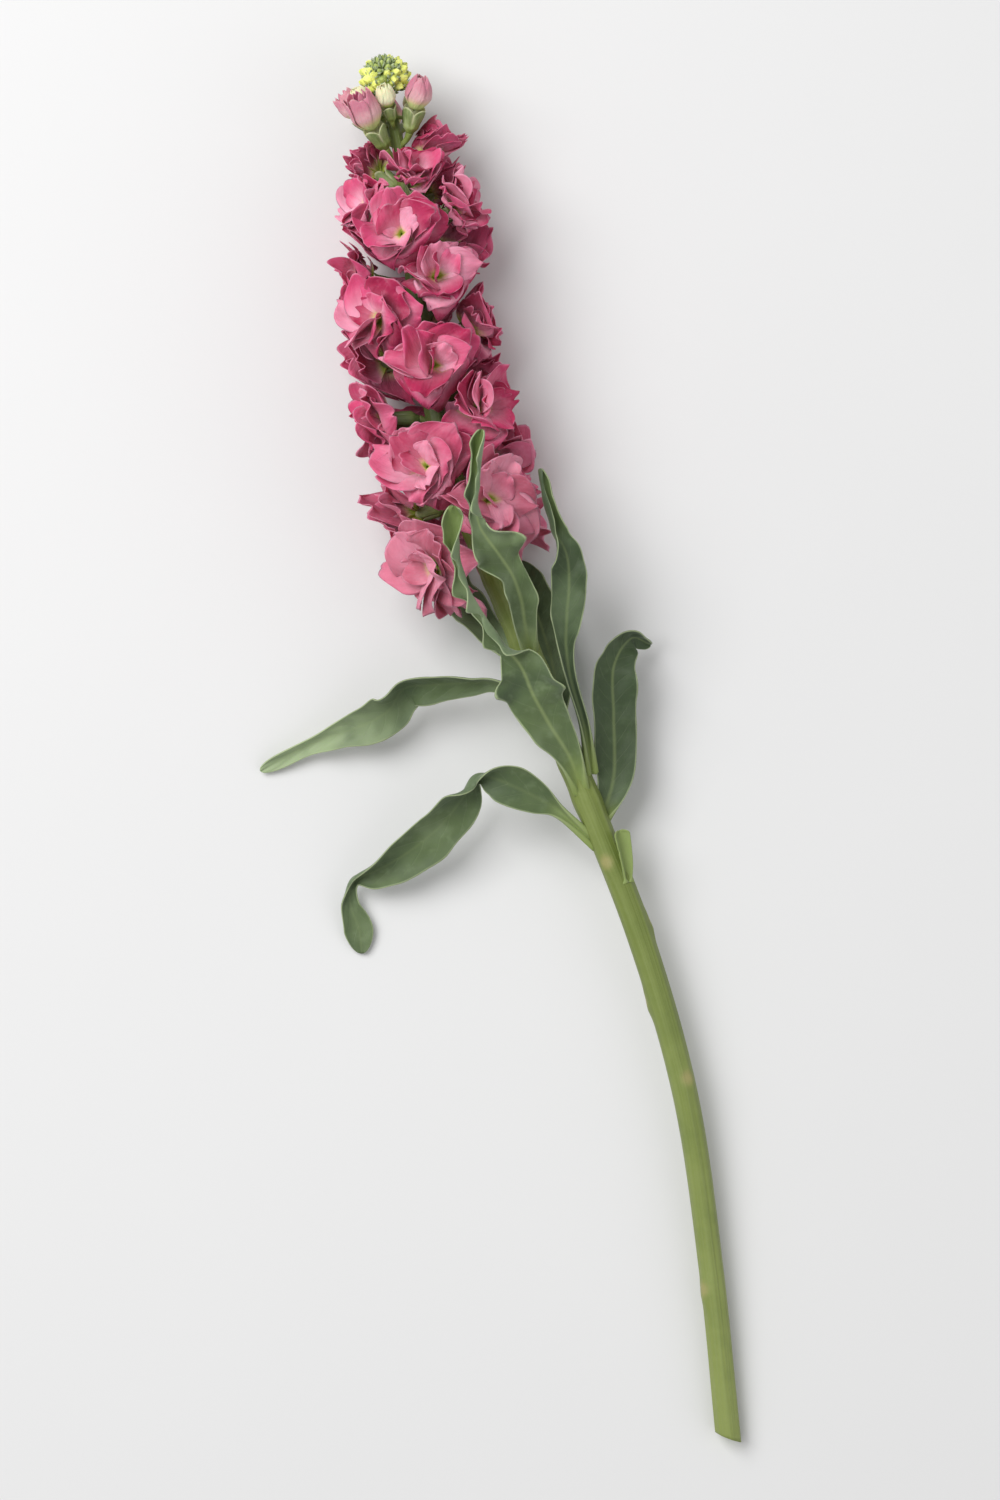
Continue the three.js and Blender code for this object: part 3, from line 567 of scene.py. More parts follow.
def calyx(seat, scale, flare, closed):
    """A cup of four sepals. Round the axis its radius swells at each sepal and dips at the seams between;
    its rim rises over each sepal's middle to a rounded tip. The wall turns in at the rim and goes down to
    the throat. flare widens the upper part, and closed keeps the tips from spreading, round a bud."""
    turn = all_round(CALYX_SIDES)
    petal_like = np.abs(np.cos(2 * turn))
    seam = np.exp(-((petal_like / 0.22) ** 2))
    up = np.linspace(0, 1, CALYX_RINGS)[:, None]
    rim = -RIM_DEPTH + SEPAL_RISE * petal_like**0.7
    outer_height = mix(-CALYX_LENGTH, rim[None], up)
    profile = mix(0.5, 0.97, ease(0, 0.28, up)) + 0.05 * np.sin(np.pi * up)
    profile += (flare - 1) * ease(0.3, 1, up)
    pouch = 0.1 * np.exp(-(((up - 0.12) / 0.1) ** 2)) * np.cos(2 * turn)[None]
    lobes = 1 + 0.07 * petal_like[None] - 0.12 * seam[None] * ease(0.1, 0.4, up) + pouch
    spread = 0.18 * ease(0.82, 1, up) * petal_like[None] * (1 - closed)
    outer = CALYX_RADIUS * (profile * lobes + spread)
    down = np.linspace(0.9, 0, INNER_RINGS)[:, None]
    inner_height = mix(-THROAT_DEPTH, rim[None], down)
    edge = outer[-1][None] - SEPAL_THICK
    inner = mix(THROAT_RADIUS, edge, ease(0, 0.9, down))
    heights = scale * np.concatenate([outer_height, inner_height])
    radii = scale * np.concatenate([outer, inner])
    ring = spun(turn, seat.across, seat.along)
    rings = seat.mouth + heights[..., None] * seat.axis + radii[..., None] * ring
    first = seat.mouth - scale * (CALYX_LENGTH + 0.3) * seat.axis
    last = seat.mouth - scale * (THROAT_DEPTH + 0.4) * seat.axis
    share = np.concatenate([up, np.ones((INNER_RINGS, 1))]) * np.ones(CALYX_SIDES)
    skin = np.stack(np.broadcast_arrays(np.cos(turn), np.sin(turn), 0.25 + 0.2 * share), -1)
    layers = {"skin": skin, "seam": seam * np.ones_like(share), "tip": share}
    return *tube(first, rings, last), {key: with_poles(a, a[0, 0], a[-1, 0]) for key, a in layers.items()}


def calyx_material():
    """Grey-green sepals with fine lines, pale along the seams and at the tips."""
    material, tree = new_material("stalk and sepal green")
    skin = layer(tree, "skin")
    lines = fibres(tree, skin, 4.0, 9.0)
    up = layer(tree, "tip", 2)
    green = blended(tree, up, 0.0, 0.7, 0x84943F, 0x728250)
    lined = mixed(tree, times(tree, lines, 0.4), green, 0xA9B678)
    shade, grain = mottled(tree, lined, 0x5F7238, 0xAEB98A, 0.5, 220.0)
    edges = times(tree, layer(tree, "seam", 2), step_between(tree, up, 0.3, 0.7))
    tips = maths(tree, "MAXIMUM", edges, step_between(tree, up, 0.9, 1.0))
    pale = mixed(tree, times(tree, tips, 0.75), shade, 0xCDCBA4)
    height = maths(tree, "ADD", lines, grain)
    # Painted shade: the sepals' green is darker in the middle of the spike.
    shaded = painted_spike_shade(tree, pale)
    glow = (0.15, 0.001, GREEN_GLOW)
    return dressed(material, shaded, height, (0.35, 0.0003), roughness=0.55, specular=0.35, glow=glow)


stalk_parts = []
for seat in FLORET_SEATS:
    stalk_parts += [stalk(seat, 1), calyx(seat, 1, 1, 0)]
for kind, seat in BUD_SEATS:
    stalk_parts += [stalk(seat, kind["scale"]), calyx(seat, kind["scale"], BUD_FLARE, 1)]
stalks = mesh_piece("stalks_and_calyces", joined(stalk_parts), calyx_material())
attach(stalks, "root")
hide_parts("stem")


# The leaves. Long soft blades, grey-green and felted, that fold along a pale midrib, curl over and wave at
# the margin; each grows from the stem by a narrow fleshy base. Rows run from stalk to tip.
LEAVES = {  # x, y, z, half width, roll in degrees, fold along the midrib in degrees
    "leaf_upper_left": [
        [15, 12, 19, 2.2, 45, 35],
        [-1, 22, 20, 3.4, 45, 30],
        [-12, 22.6, 19.5, 5.4, 45, 28],
        [-24, 22, 17.5, 7, 45, 26],
        [-34, 20.8, 15, 7.6, 45, 24],
        [-39, 13.6, 12.8, 9, 20, 20],
        [-47, 8.6, 10.5, 7.6, 15, 20],
        [-57, 5, 7.6, 5.2, 20, 24],
        [-69, 0.4, 4.4, 3.6, 25, 30],
        [-84, -7.8, 1.6, 3.3, 10, 12],
    ],
    "leaf_lower_left": [
        [33, -34, 16.5, 1.8, 0, 50],
        [20, -22, 20.5, 2.6, 10, 35],
        [12, -17, 22.5, 6, 5, 20],
        [3, -12.5, 24, 7.6, 10, 15],
        [-4, -9.8, 23.8, 6, 35, 25],
        [-9.8, -10, 22.5, 3.4, 70, 55],
        [-14, -17, 19.5, 8.4, 30, 24],
        [-22, -27, 15.5, 9.6, 25, 22],
        [-33, -35.8, 11, 8.6, 25, 26],
        [-44, -42.2, 8, 6.6, 35, 36],
        [-51.8, -45.5, 6, 3, 40, 50],
        [-53, -53.5, 4, 3.6, 5, 25],
        [-50, -62, 2.2, 5.4, 0, 15],
        [-48.8, -71, 0.9, 4.6, 0, 12],
    ],
    "leaf_front_twisted": [
        [27, -15, 20, 3, 0, 45],
        [22.8, -3, 26.5, 5.2, 0, 30],
        [16, 8, 33, 8, 0, 18],
        [10.2, 18.5, 39, 9.8, 5, 16],
        [6, 28, 43.2, 8.6, 15, 22],
        [-0.6, 35.5, 46.3, 3.8, 55, 50],
        [-6.8, 44.5, 50, 2.8, 75, 60],
        [-11.8, 53, 54, 3.9, 50, 45],
        [-14.8, 62.5, 57.5, 3.2, 60, 60],
        [-16, 71.5, 60.5, 3.8, 35, 50],
        [-16.4, 81.5, 64, 6.4, 0, 28],
    ],
    "leaf_front_strip": [
        [9.5, 32, 21, 2.5, 0, 40],
        [7.5, 42, 34, 4.6, -5, 30],
        [6, 51, 41.5, 5.8, -10, 28],
        [2.6, 59.5, 48, 5.8, -12, 26],
        [-2.6, 67, 53, 8.8, -10, 20],
        [-7.4, 74, 56.5, 5, 10, 38],
        [-9.4, 82, 59.5, 4, 30, 64],
        [-9, 90, 62, 3.8, 28, 66],
        [-8.2, 98.5, 64, 4, 22, 62],
        [-7.2, 107, 65.4, 4.3, 10, 48],
    ],
    "leaf_left_behind": [
        [8, 29, 19, 3, 0, 30],
        [-3.5, 38.5, 14, 5, -10, 18],
        [-10, 46.5, 9.5, 6.4, -10, 14],
        [-16.5, 54, 6, 7, -10, 14],
        [-20.5, 63, 4.2, 6.4, -10, 18],
        [-22, 72, 3.4, 3.5, 0, 15],
    ],
    "leaf_right_behind": [
        [18, 6, 16, 3, 0, 30],
        [18, 24, 11, 7, 5, 18],
        [14, 40, 7, 9, 5, 14],
        [9, 54, 4.5, 8, 5, 16],
        [5, 65, 3, 3.5, 5, 12],
    ],
    "leaf_right_broad": [
        [33, -26, 15, 3, 0, 40],
        [38, -10, 15, 7, -10, 22],
        [38, 11, 16, 8.5, -10, 18],
        [38, 28, 17, 8, -15, 22],
        [44, 38, 14, 5.5, -35, 30],
        [51, 36, 10, 3, -50, 30],
    ],
    "leaf_right_strip": [
        [30, -9, 19, 2.5, -30, 50],
        [27.5, 8, 24, 2.6, -20, 45],
        [23, 24, 29, 2.6, -10, 40],
        [21.5, 35, 31.5, 3.6, 0, 30],
        [21.8, 46, 34.5, 5.8, 0, 20],
        [22.5, 57, 37.5, 6.8, 5, 20],
        [21.5, 66, 39.5, 6, -10, 28],
        [17.5, 74, 41, 4.4, -40, 50],
        [14.5, 84, 42.5, 3.4, -50, 58],
        [12.5, 95, 43.5, 3, -50, 62],
    ],
    "leaf_stub": [
        [42.8, -46, 18.6, 1.6, -30, 40],
        [41.8, -38.5, 19.5, 3, -30, 32],
        [39.8, -28, 20.5, 3.9, -30, 28],
    ],
}
# How far the margin kinks, and shares: dark blade (partly the leaf's own tone, partly painted shade), pale
# outer half, fresh green tip, midrib, stem green.
LEAF_LOOKS = {
    "leaf_upper_left": [0.08, 0.35, 1, 0, 0.15, 0],
    "leaf_lower_left": [0.2, 0.25, 0.1, 0, 0.15, 0],
    "leaf_front_twisted": [1.8, 0.05, 0.2, 1, 0.8, 0],
    "leaf_front_strip": [1.6, 0.2, 0.2, 1, 0.8, 0],
    "leaf_left_behind": [0.25, 0.4, 0, 0, 0.5, 0],
    "leaf_right_behind": [0.25, 0.6, 0, 0, 0.5, 0],
    "leaf_right_broad": [0.25, 0.9, 0, 0, 0.5, 0],
    "leaf_right_strip": [0.5, 0.9, 0, 0.5, 0.4, 0],
    "leaf_stub": [0, 0, 0, 0, 0, 0.85],
}
LEAF_BEND = 2.2  # the arc's angle to each margin, in folds
KINK_TURN = 0.3  # radians of zigzag a millimetre along the leaf
LEAF_ROWS = 130
LEAF_COLUMNS = 25
LEAF_THIN = 0.55
LEAF_TIP = 0.92  # the share of the length where the tip begins to round off
MIDRIB_THICK = 1.0
MIDRIB_WIDE = 1.3
FLESHY = [0.8, 0.07]  # what the leaf's base adds to a face, and over what share of the length
PRESS_DEPTH = 4  # heights above this stay as they are
PRESS_REST = 1.5  # how far below the surface the pressed heights would end


def blade_grid(rows, columns):
    """The two parameters of a blade: 0 to 1 up it and -1 to 1 across it. A share of a sine, added to even
    steps, draws the rows and columns together towards the rim."""
    evens = [np.linspace(-1, 1, count) for count in (rows, columns)]
    up, across = (0.6 * even + 0.4 * np.sin(even * np.pi / 2) for even in evens)
    return 0.5 + 0.5 * up, across


def press(z, least):
    """Heights near the surface are pressed together, in order, so that soft blades lie flat on it: below the
    press depth a height falls off as an exponential, and never under the least."""
    room = PRESS_DEPTH + PRESS_REST
    pressed = np.maximum(room * np.exp((z - PRESS_DEPTH) / room) - PRESS_REST, least)
    return np.where(z > PRESS_DEPTH, z, pressed)


def blades(middle, above, below):
    """Closed thin blades over middle surfaces, an array of blades x rows x columns of points. Each face
    stands off by its own share of thickness along the normal, and both share the points of the rim."""
    count, rows, columns = middle.shape[:3]
    normal = np.cross(np.gradient(middle, axis=2), np.gradient(middle, axis=1))
    normal /= np.maximum(np.linalg.norm(normal, axis=-1, keepdims=True), 1e-9)
    inside = np.zeros((rows, columns, 1))
    inside[1:-1, 1:-1] = 1
    upper = middle + normal * (above * inside)
    lower = (middle - normal * (below * inside))[:, 1:-1, 1:-1]
    upper_number = np.arange(rows * columns).reshape(rows, columns)
    lower_number = upper_number.copy()
    within = (rows - 2) * (columns - 2)
    lower_number[1:-1, 1:-1] = rows * columns + np.arange(within).reshape(rows - 2, columns - 2)
    quads = grid_faces(rows, columns)
    one = np.vstack([quads, lower_number.ravel()[quads][:, ::-1]])
    size = rows * columns + within
    points = np.concatenate([upper.reshape(count, -1, 3), lower.reshape(count, -1, 3)], 1)
    faces = (one[None] + size * np.arange(count)[:, None, None]).reshape(-1, 4)
    return points.reshape(-1, 3), [faces]


def on_both(values):
    """A layer of numbers on the middle surfaces, given to the upper and then the lower points of blades."""
    tail = values.shape[3:]
    faces = [part.reshape(len(values), -1, *tail) for part in (values, values[:, 1:-1, 1:-1])]
    return np.concatenate(faces, 1).reshape(-1, *tail)


def leaf_middle(rows, index, kinked, t, v):
    """A leaf's middle surface. The midrib follows the route and the blade curls up on both sides of it as
    the arc of a circle, which closes to a tube where the fold is strong. Sines along the leaf wave and
    ripple its margin. Where it is kinked, sines drawn out to straight-sided zigzags bend the blade as well,
    and sharp corners stand out from the margin. Shallow puckers cross the blade between its side veins."""
    at, tangent, side, up, rest = frames(rows, t)
    half, roll, fold = (rest[:, k, None, None] for k in range(3))
    roll = np.radians(roll)
    long = np.linalg.norm(np.diff(at, axis=0), axis=1).sum()
    face = up[:, None] * np.cos(roll) + side[:, None] * np.sin(roll)
    across = np.cross(tangent[:, None], face)
    v = v[None, :, None]
    t = t[:, None, None]
    reach = np.abs(v)
    bend = LEAF_BEND * np.radians(fold)
    turn = 2 * index + np.where(v > 0, 0, 2)
    free = ease(0.1, 0.35, t) * (kinked > 0)
    wave = 0.13 * half * reach * np.sin(15 * t + turn) * free
    ripple = 0.05 * half * reach**2 * np.sin(41 * t + 3 * turn) * free
    crushed = kinked * half * free
    beat = KINK_TURN * long * t + 2.3 * turn
    zigzag = lambda angle: np.arcsin(0.98 * np.sin(angle))
    kink = 0.19 * crushed * reach**2 * zigzag(beat + 0.9 * np.sin(beat))
    kink += 0.08 * crushed * reach * zigzag(1.7 * beat + 3 * v)
    corner = 0.17 * crushed / half * np.abs(np.sin(0.5 * beat + 1)) ** 9
    pucker = 0.22 * np.sin(60 * t - 5 * reach + turn) * np.sin(np.pi * reach) * free
    notch = 1 - 0.1 * np.exp(-(((t - 0.52 - 0.02 * index) / 0.025) ** 2)) * (v < 0)
    tip = np.sqrt(np.maximum(1 - np.clip((t - LEAF_TIP) / (1 - LEAF_TIP), 0, 1) ** 2, 0.01))
    scallop = notch * (1 + 0.03 * np.sin(27 * t + turn) * free + corner * reach**2) * tip
    point = at[:, None] + across * half * np.sin(bend * v) / bend * scallop
    return point + face * (half * (1 - np.cos(bend * v)) / bend * scallop + wave + ripple + kink + pucker)


def leaf_material():
    """Grey-green felt with cloudy patches, a pale midrib, a painted highlight along the margin and faint side
    veins at a slant. The leaf's look says how dark or pale it is, the dark being partly its own tone and
    partly painted shade, and how fresh its tip, and its base is the stem's own green."""
    material, tree = new_material("leaf blade")
    t, v, stem_green = parts_of(tree, layer(tree, "blade"))
    dark, pale, fresh = parts_of(tree, layer(tree, "look"))
    reach = maths(tree, "ABSOLUTE", v)
    wander = node(tree, "TexNoise", Vector=node(tree, "TexCoord", 3), Scale=90.0, Detail=1.0)
    phase = maths(tree, "SUBTRACT", times(tree, t, 15.0), times(tree, reach, 1.5))
    across_vein = maths(tree, "PINGPONG", maths(tree, "ADD", phase, times(tree, wander, 0.7)), 0.5)
    side_vein = times(tree, step_between(tree, across_vein, 0.06, 0.0), step_between(tree, reach, 0.98, 0.55))
    midrib = step_between(tree, reach, layer(tree, "rib", 2), 0.0)
    upper = layer(tree, "upper", 2)
    base = mixed(tree, upper, 0x728460, 0x5E7046)
    # Partly the leaf's own tone, partly painted shade: the dark share darkens the blade and its mottle's
    # light, most on the right-hand leaves.
    darker = mixed(tree, dark, base, 0x35452A)
    paler = mixed(tree, times(tree, pale, step_between(tree, t, 0.4, 0.9, 0.0, 0.8)), darker, 0xA9BA90)
    light = mixed(tree, dark, 0x98AA83, 0x5A6C4B)
    shade, grain = mottled(tree, paler, 0x3E4F36, light, 0.75, 30.0)
    veined = mixed(tree, times(tree, side_vein, 0.07), shade, 0x9BAA82)
    ribbed = mixed(tree, times(tree, midrib, layer(tree, "midrib", 2)), veined, 0xA0AF72)
    inside = times(tree, times(tree, fresh, upper), step_between(tree, t, 0.7, 0.88))
    tipped = mixed(tree, inside, ribbed, 0x67793F)
    # Painted highlight: a pale line along the leaf's margin.
    rim_highlighted = mixed(tree, times(tree, step_between(tree, reach, 0.93, 0.985), 0.6), tipped, 0xB4C096)
    greener = maths(tree, "MAXIMUM", step_between(tree, t, 0.14, 0.0), stem_green)
    felt = node(tree, "TexNoise", Vector=node(tree, "TexCoord", 3), Scale=1400.0, Detail=2.0)
    height = maths(tree, "SUBTRACT", times(tree, felt, 0.25), times(tree, side_vein, 0.3))
    height = maths(tree, "ADD", height, times(tree, grain, 0.5))
    based = mixed(tree, greener, rim_highlighted, 0x84954F)
    glow = (0.1, 0.001, (0.6, 1.0, 0.3))
    sheen = (0.25, 0.5, (0.8, 0.9, 0.75, 1.0))
    return dressed(
        material, based, height, (0.5, 0.0004), roughness=0.6, specular=0.35, glow=glow, sheen=sheen,
    )


LEAF_GREEN = leaf_material()
t, v = blade_grid(LEAF_ROWS, LEAF_COLUMNS)
for index, (name, rows) in enumerate(LEAVES.items()):
    kinked, *look, midrib, stem_green = LEAF_LOOKS[name]
    middle = leaf_middle(rows, index, kinked, t, v)
    half = along(rows, t)[:, 3:4]
    rib = np.exp(-((v[None] * half / MIDRIB_WIDE) ** 2))
    fleshy = FLESHY[0] * np.exp(-((t / FLESHY[1]) ** 2))[:, None]
    middle[..., 2] = press(middle[..., 2], LEAF_THIN / 2 + MIDRIB_THICK * rib * 0.5)
    above = (LEAF_THIN / 2 - 0.12 * rib + fleshy)[None, ..., None]
    below = (LEAF_THIN / 2 + MIDRIB_THICK * rib * (1 - 0.6 * t[:, None]) + fleshy)[None, ..., None]
    points, faces = blades(middle[None], above, below)
    ones = np.ones((LEAF_ROWS, LEAF_COLUMNS))
    rib_reach = (1.2 - 0.6 * t[:, None]) / np.maximum(half, 1)  # as a share of the half width
    layers = {
        "blade": on_both(np.stack([t[:, None] * ones, v[None] * ones, stem_green * ones], -1)[None]),
        "upper": (np.arange(len(points)) < ones.size).astype(float),
        "rib": on_both((rib_reach * ones)[None]),
        "look": np.tile(np.array(look, float), (len(points), 1)),
        "midrib": np.full(len(points), 0.5 * midrib),
    }
    leaf = mesh_piece(name + "_blade", (points, faces, layers), LEAF_GREEN)
    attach(leaf, "root")
    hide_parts(name)


# The florets. Each is a double bloom of about sixteen rose-pink petals in four rings, soft, ruffled and
# crumpled, on narrow claws that stand in the calyx; neighbours press against each other and leave no room.
# Of each ring, from the outermost: foot and claw are places out from the axis and along it; stray and ruffle
# are how far its petals part from one another in shape, and how far their margins wave.
RING_WORDS = ["count", "offset", "long", "half", "lean", "bend", "foot", "claw", "stray", "ruffle"]
PETAL_RINGS = [
    SimpleNamespace(**dict(zip(RING_WORDS, row)))
    for row in (
        [5, 0, 20, 10.5, 84, 44, (0.6, -0.6), (1.5, 3), 1, 1.1],
        [5, 0.4, 17.5, 9.2, 66, 42, (0.55, 0.6), (1.35, 3), 1.3, 1.2],
        [3, 0.9, 14, 8.4, 48, 46, (0.5, 2.2), (1.3, 4), 2, 1.2],
        [3, 0.2, 10.5, 5.6, 32, 44, (0.4, 2.4), (0.9, 4.4), 2.4, 1.4],
    )
]
PETAL_ROWS = 19
PETAL_COLUMNS = 21
PETAL_THICK = 0.24
CLAW_HALF = 0.7
PETAL_TWIST = 0.36  # radians that a petal turns out of the ring, like a propeller's blade
DROOP = 22  # degrees that a bloom's low petals lean out further, and its high ones less
HANG_LONGER = 0.16  # and how much longer they are, as a share
NEIGHBOUR_SPAN = 44  # between the hearts of blooms that can touch
BUD_SPAN = 24  # between a bloom's heart and a bud that can touch it
CROWD_DEPTH = 5  # how near a neighbour a petal begins to bend back
CROWD_GAP = 0.4
OVERHANG = 0.55  # how far a plane between two blooms leans out
BALL_HEIGHTS = [5, -2, -7]  # of the three balls that a bud keeps free, from its calyx's mouth
BALL_SHARES = [1, 0.8, 0.6]  # their radii, as shares of the bud's own
SHADE_DEPTHS = [19, 7]  # from the stem's centreline, where the painted shade of the spike begins and where it is full


def dividing_planes(index):
    """The planes that part a floret from its neighbours: a place and a direction for each. A plane stands
    between two florets' hearts, leant so that the upper one hangs out over the lower. Others touch the balls
    that the buds keep free."""
    seat = FLORET_SEATS[index]
    planes = []
    for j, other in enumerate(FLORET_SEATS):
        span = other.heart - seat.heart
        length = np.linalg.norm(span)
        if j == index or length > NEIGHBOUR_SPAN:
            continue
        place = seat.heart + span * seat.size / (seat.size + other.size)
        higher, sign = (other, -1) if j > index else (seat, 1)
        planes.append((place, unit(span / length + sign * OVERHANG * higher.out)))
    for kind, bud in BUD_SEATS:
        for high, share in zip(BALL_HEIGHTS, BALL_SHARES):
            centre = bud.mouth + high * bud.axis
            way = centre - seat.heart
            if np.linalg.norm(way) <= BUD_SPAN:
                way = unit(way)
                planes.append((centre - way * share * kind["keep_off"], way))
    return planes


def settled(points, planes, least):
    """Points bent back from the dividing planes, first all those that come near, by an exponential, and then
    as often as it takes to keep inside every plane; last they are pressed on the surface below."""
    room = CROWD_DEPTH - CROWD_GAP
    for attempt in range(4):
        for place, way in planes:
            inside = (place - points) @ way
            near = inside < CROWD_DEPTH
            gentle = CROWD_GAP + room * np.exp(np.minimum(inside - CROWD_DEPTH, 0) / room)
            kept = gentle if attempt == 0 else np.maximum(inside, CROWD_GAP)
            points = points + np.where(near, inside - kept, 0)[..., None] * way
    points[..., 2] = press(points[..., 2], least)
    return points


def petal_middles(seat, ring, index, row, u, v):
    """Middle surfaces of one ring of petals. A petal's midline is a cubic Bezier curve that leaves the
    calyx, leans out and bends over. Its width follows a sine of the way up, and its rim is rounded off, with
    a notch and small scallops. Across, the petal twists and folds at the midline. Sines over the whole
    blade wave and crumple it, and a sine of the angle round the rim ruffles the margin alone."""
    k = np.arange(ring.count)
    key = 1000 + index * 100 + row * 4000 + k * 8
    fresh = lambda n: draw(key + 20011 * n)[:, None, None]
    phase = lambda n: 6.28 * fresh(n)
    stray = lambda n, by: (draw(key + n) - 0.5)[:, None, None] * by
    turn = 2 * np.pi * (k + ring.offset) / ring.count + (draw(key) - 0.5) * 0.3 * ring.stray
    away = spun(turn, seat.across, seat.along)[:, None, None]
    sideways = spun(turn, seat.along, -seat.across)[:, None, None]
    hang = -(away @ seat.tangent)
    lean = np.radians(ring.lean * seat.open + DROOP * hang + stray(1, 16 * ring.stray))
    end = lean + np.radians(ring.bend + stray(2, 36))
    long = ring.long * seat.size * (1 + stray(3, 0.24) + HANG_LONGER * hang)
    half = ring.half * seat.size * (1 + stray(4, 0.24))
    u = u[None, :, None]
    v = v[None, None, :]
    notch = 0.1 * fresh(1) * np.exp(-((v / 0.3) ** 2))
    round_it = np.arctan2(0.9 * v, u - 0.45)
    from_middle = np.sqrt(v**2 + ((u - 0.45) / 0.55) ** 2)
    near_rim = ease(0.5, 1.15, from_middle) * ease(0.2, 0.5, u)
    beat = 6 * round_it + 1.3 * np.sin(2 * round_it + phase(2)) + phase(3)
    scallops = 0.03 * np.sin(5 * v + phase(2)) + 0.014 * np.sin(beat + 1)
    e = u * (1.04 - 0.3 * v**2 - notch * u**4) + scallops * u**5
    c1 = ring.claw
    c2 = (c1[0] + 0.5 * long * np.sin(lean), c1[1] + 0.5 * long * np.cos(lean))
    c3 = (c2[0] + 0.5 * long * np.sin(end), c2[1] + 0.5 * long * np.cos(end))
    midline = [bezier(ring.foot[m], c1[m], c2[m], c3[m], e) for m in range(2)]
    slope = mix(lean * 0.6, end, e)
    wave = 0.16 * e * np.sin(2.6 * v + 6.28 * draw(key + 5)[:, None, None]) + 0.1 * e * v**2
    wave += 0.075 * ring.ruffle * e**2 * np.sin(5.2 * v + phase(4) + 1.5 * u)
    wave += 0.12 * ring.ruffle * near_rim * np.sin(beat)
    wave += 0.1 * e**4 * np.sin(8.5 * v + phase(6)) * (0.6 + 0.4 * np.sin(3 * v + phase(10)))
    crease = (fresh(7) - 0.55) * 0.22 * ring.stray * e * np.sqrt(v**2 + 0.04)
    crumple = 0.36 * np.sin(7 * u + 3 * v + phase(8)) * np.sin(5 * v - 4 * u + phase(9))
    crumple += 0.13 * np.sin(15 * u - 5 * v + phase(11)) * np.sin(11 * v + 6 * u + phase(12))
    crumple *= ring.ruffle * e
    body = np.sin(2.1 * u) * (1 - 0.06 * u**8)
    width = (half * body + CLAW_HALF * (1 - u) ** 2) * v
    twist = PETAL_TWIST + stray(6, 0.3 * ring.stray)
    lift = half * (wave + crease) + crumple + width * np.sin(twist)
    return (
        seat.mouth
        + away * (midline[0] - np.cos(slope) * lift)[..., None]
        + seat.axis * (midline[1] + np.sin(slope) * lift)[..., None]
        + sideways * (width * np.cos(twist))[..., None]
    )


def petal_material(name, inner, outer, deep, back, faded, heart, glow):
    """Petal tissue: green-yellow at the claw, cream above it, then the petal's own colour, deeper or paler
    from petal to petal, with painted shade deep in the spike, a painted highlight at the rim, fine veins and
    a duller back."""
    material, tree = new_material(name)
    u, v, tone = parts_of(tree, layer(tree, "petal"))
    spread = node(tree, "CombineXYZ", X=v, Y=tone, Z=u)
    lines = fibres(tree, spread, 12.0, 1.6)
    body = blended(tree, u, 0.3, 0.85, inner, outer)
    body = blended(tree, tone, 0.5, 0.05, body, deep, 0.7)
    body = blended(tree, tone, 0.6, 1.0, body, inner, 0.6)
    old = mixed(tree, times(tree, layer(tree, "age", 2), 0.6), body, faded)
    backed = mixed(tree, times(tree, layer(tree, "back", 2), 0.5), old, back)
    # Painted shade: petals near the stem, deep inside the spike, turn towards the deep colour.
    shaded = mixed(tree, times(tree, layer(tree, "shade_inside", 2), 0.85), backed, deep)
    veined = mixed(tree, times(tree, lines, 0.08), shaded, deep)
    shade, grain = mottled(tree, veined, deep, inner, 0.22, 110.0)
    cream = blended(tree, u, 0.42, 0.22, shade, 0xE6CFA4, 0.85)
    claw = blended(tree, u, 0.3, 0.16, cream, heart)
    # Painted highlight: a thin pale line along the petal's rim.
    reach = maths(tree, "MAXIMUM", maths(tree, "ABSOLUTE", v), u)
    rim_highlighted = blended(tree, reach, 0.955, 0.995, claw, inner, 0.3)
    wrinkles = times(tree, fibres(tree, spread, 5.0, 3.0), 1.6)
    height = maths(tree, "ADD", times(tree, maths(tree, "ADD", lines, grain), 0.2), wrinkles)
    glow = (glow, 0.0012, (1.0, 0.35, 0.45))
    sheen = (0.04, 0.4, (1.0, 0.75, 0.85, 1.0))
    return dressed(
        material, rim_highlighted, height, (0.3, 0.0004), roughness=0.5, specular=0.15, glow=glow, sheen=sheen,
    )


ROSE = petal_material(
    "rose petal",
    inner=0xF6B6CB, outer=0xD5507C, deep=0x980C3C, back=0xBE6080, faded=0xD58E9E, heart=0xAEBB52, glow=0.2,
)


def painted_shade_share(middle):
    """The share of painted shade at points deep inside the spike, from 0 at its outer blooms to 1 near the
    stem: it falls with the distance from the stem's centreline."""
    line = frames(STEM_ROUTE, np.linspace(0.5, 1, 60))[0]
    away = np.linalg.norm(middle[..., None, :] - line, axis=-1).min(-1)
    return ease(*SHADE_DEPTHS, away)


def petals(middle, u, v, thick, key, age, shade_inside):
    """Petals as a body: blades of a thickness over the middle surfaces, with the layers that the material
    reads. These are the way up and across with the petal's own tone, the bloom's age, the share of painted
    shade deep inside the spike, and which face is the back."""
    points, faces = blades(middle, thick / 2, thick / 2)
    rows, columns = middle.shape[1:3]
    place = np.stack(np.broadcast_arrays(u[None, :, None], v[None, None, :], draw(key)[:, None, None]), -1)
    back = np.concatenate([np.ones(rows * columns), np.zeros((rows - 2) * (columns - 2))])
    return points, faces, {
        "petal": on_both(place),
        "age": np.full(len(points), float(age)),
        "shade_inside": on_both(shade_inside),
        "back": np.tile(back, len(middle)),
    }


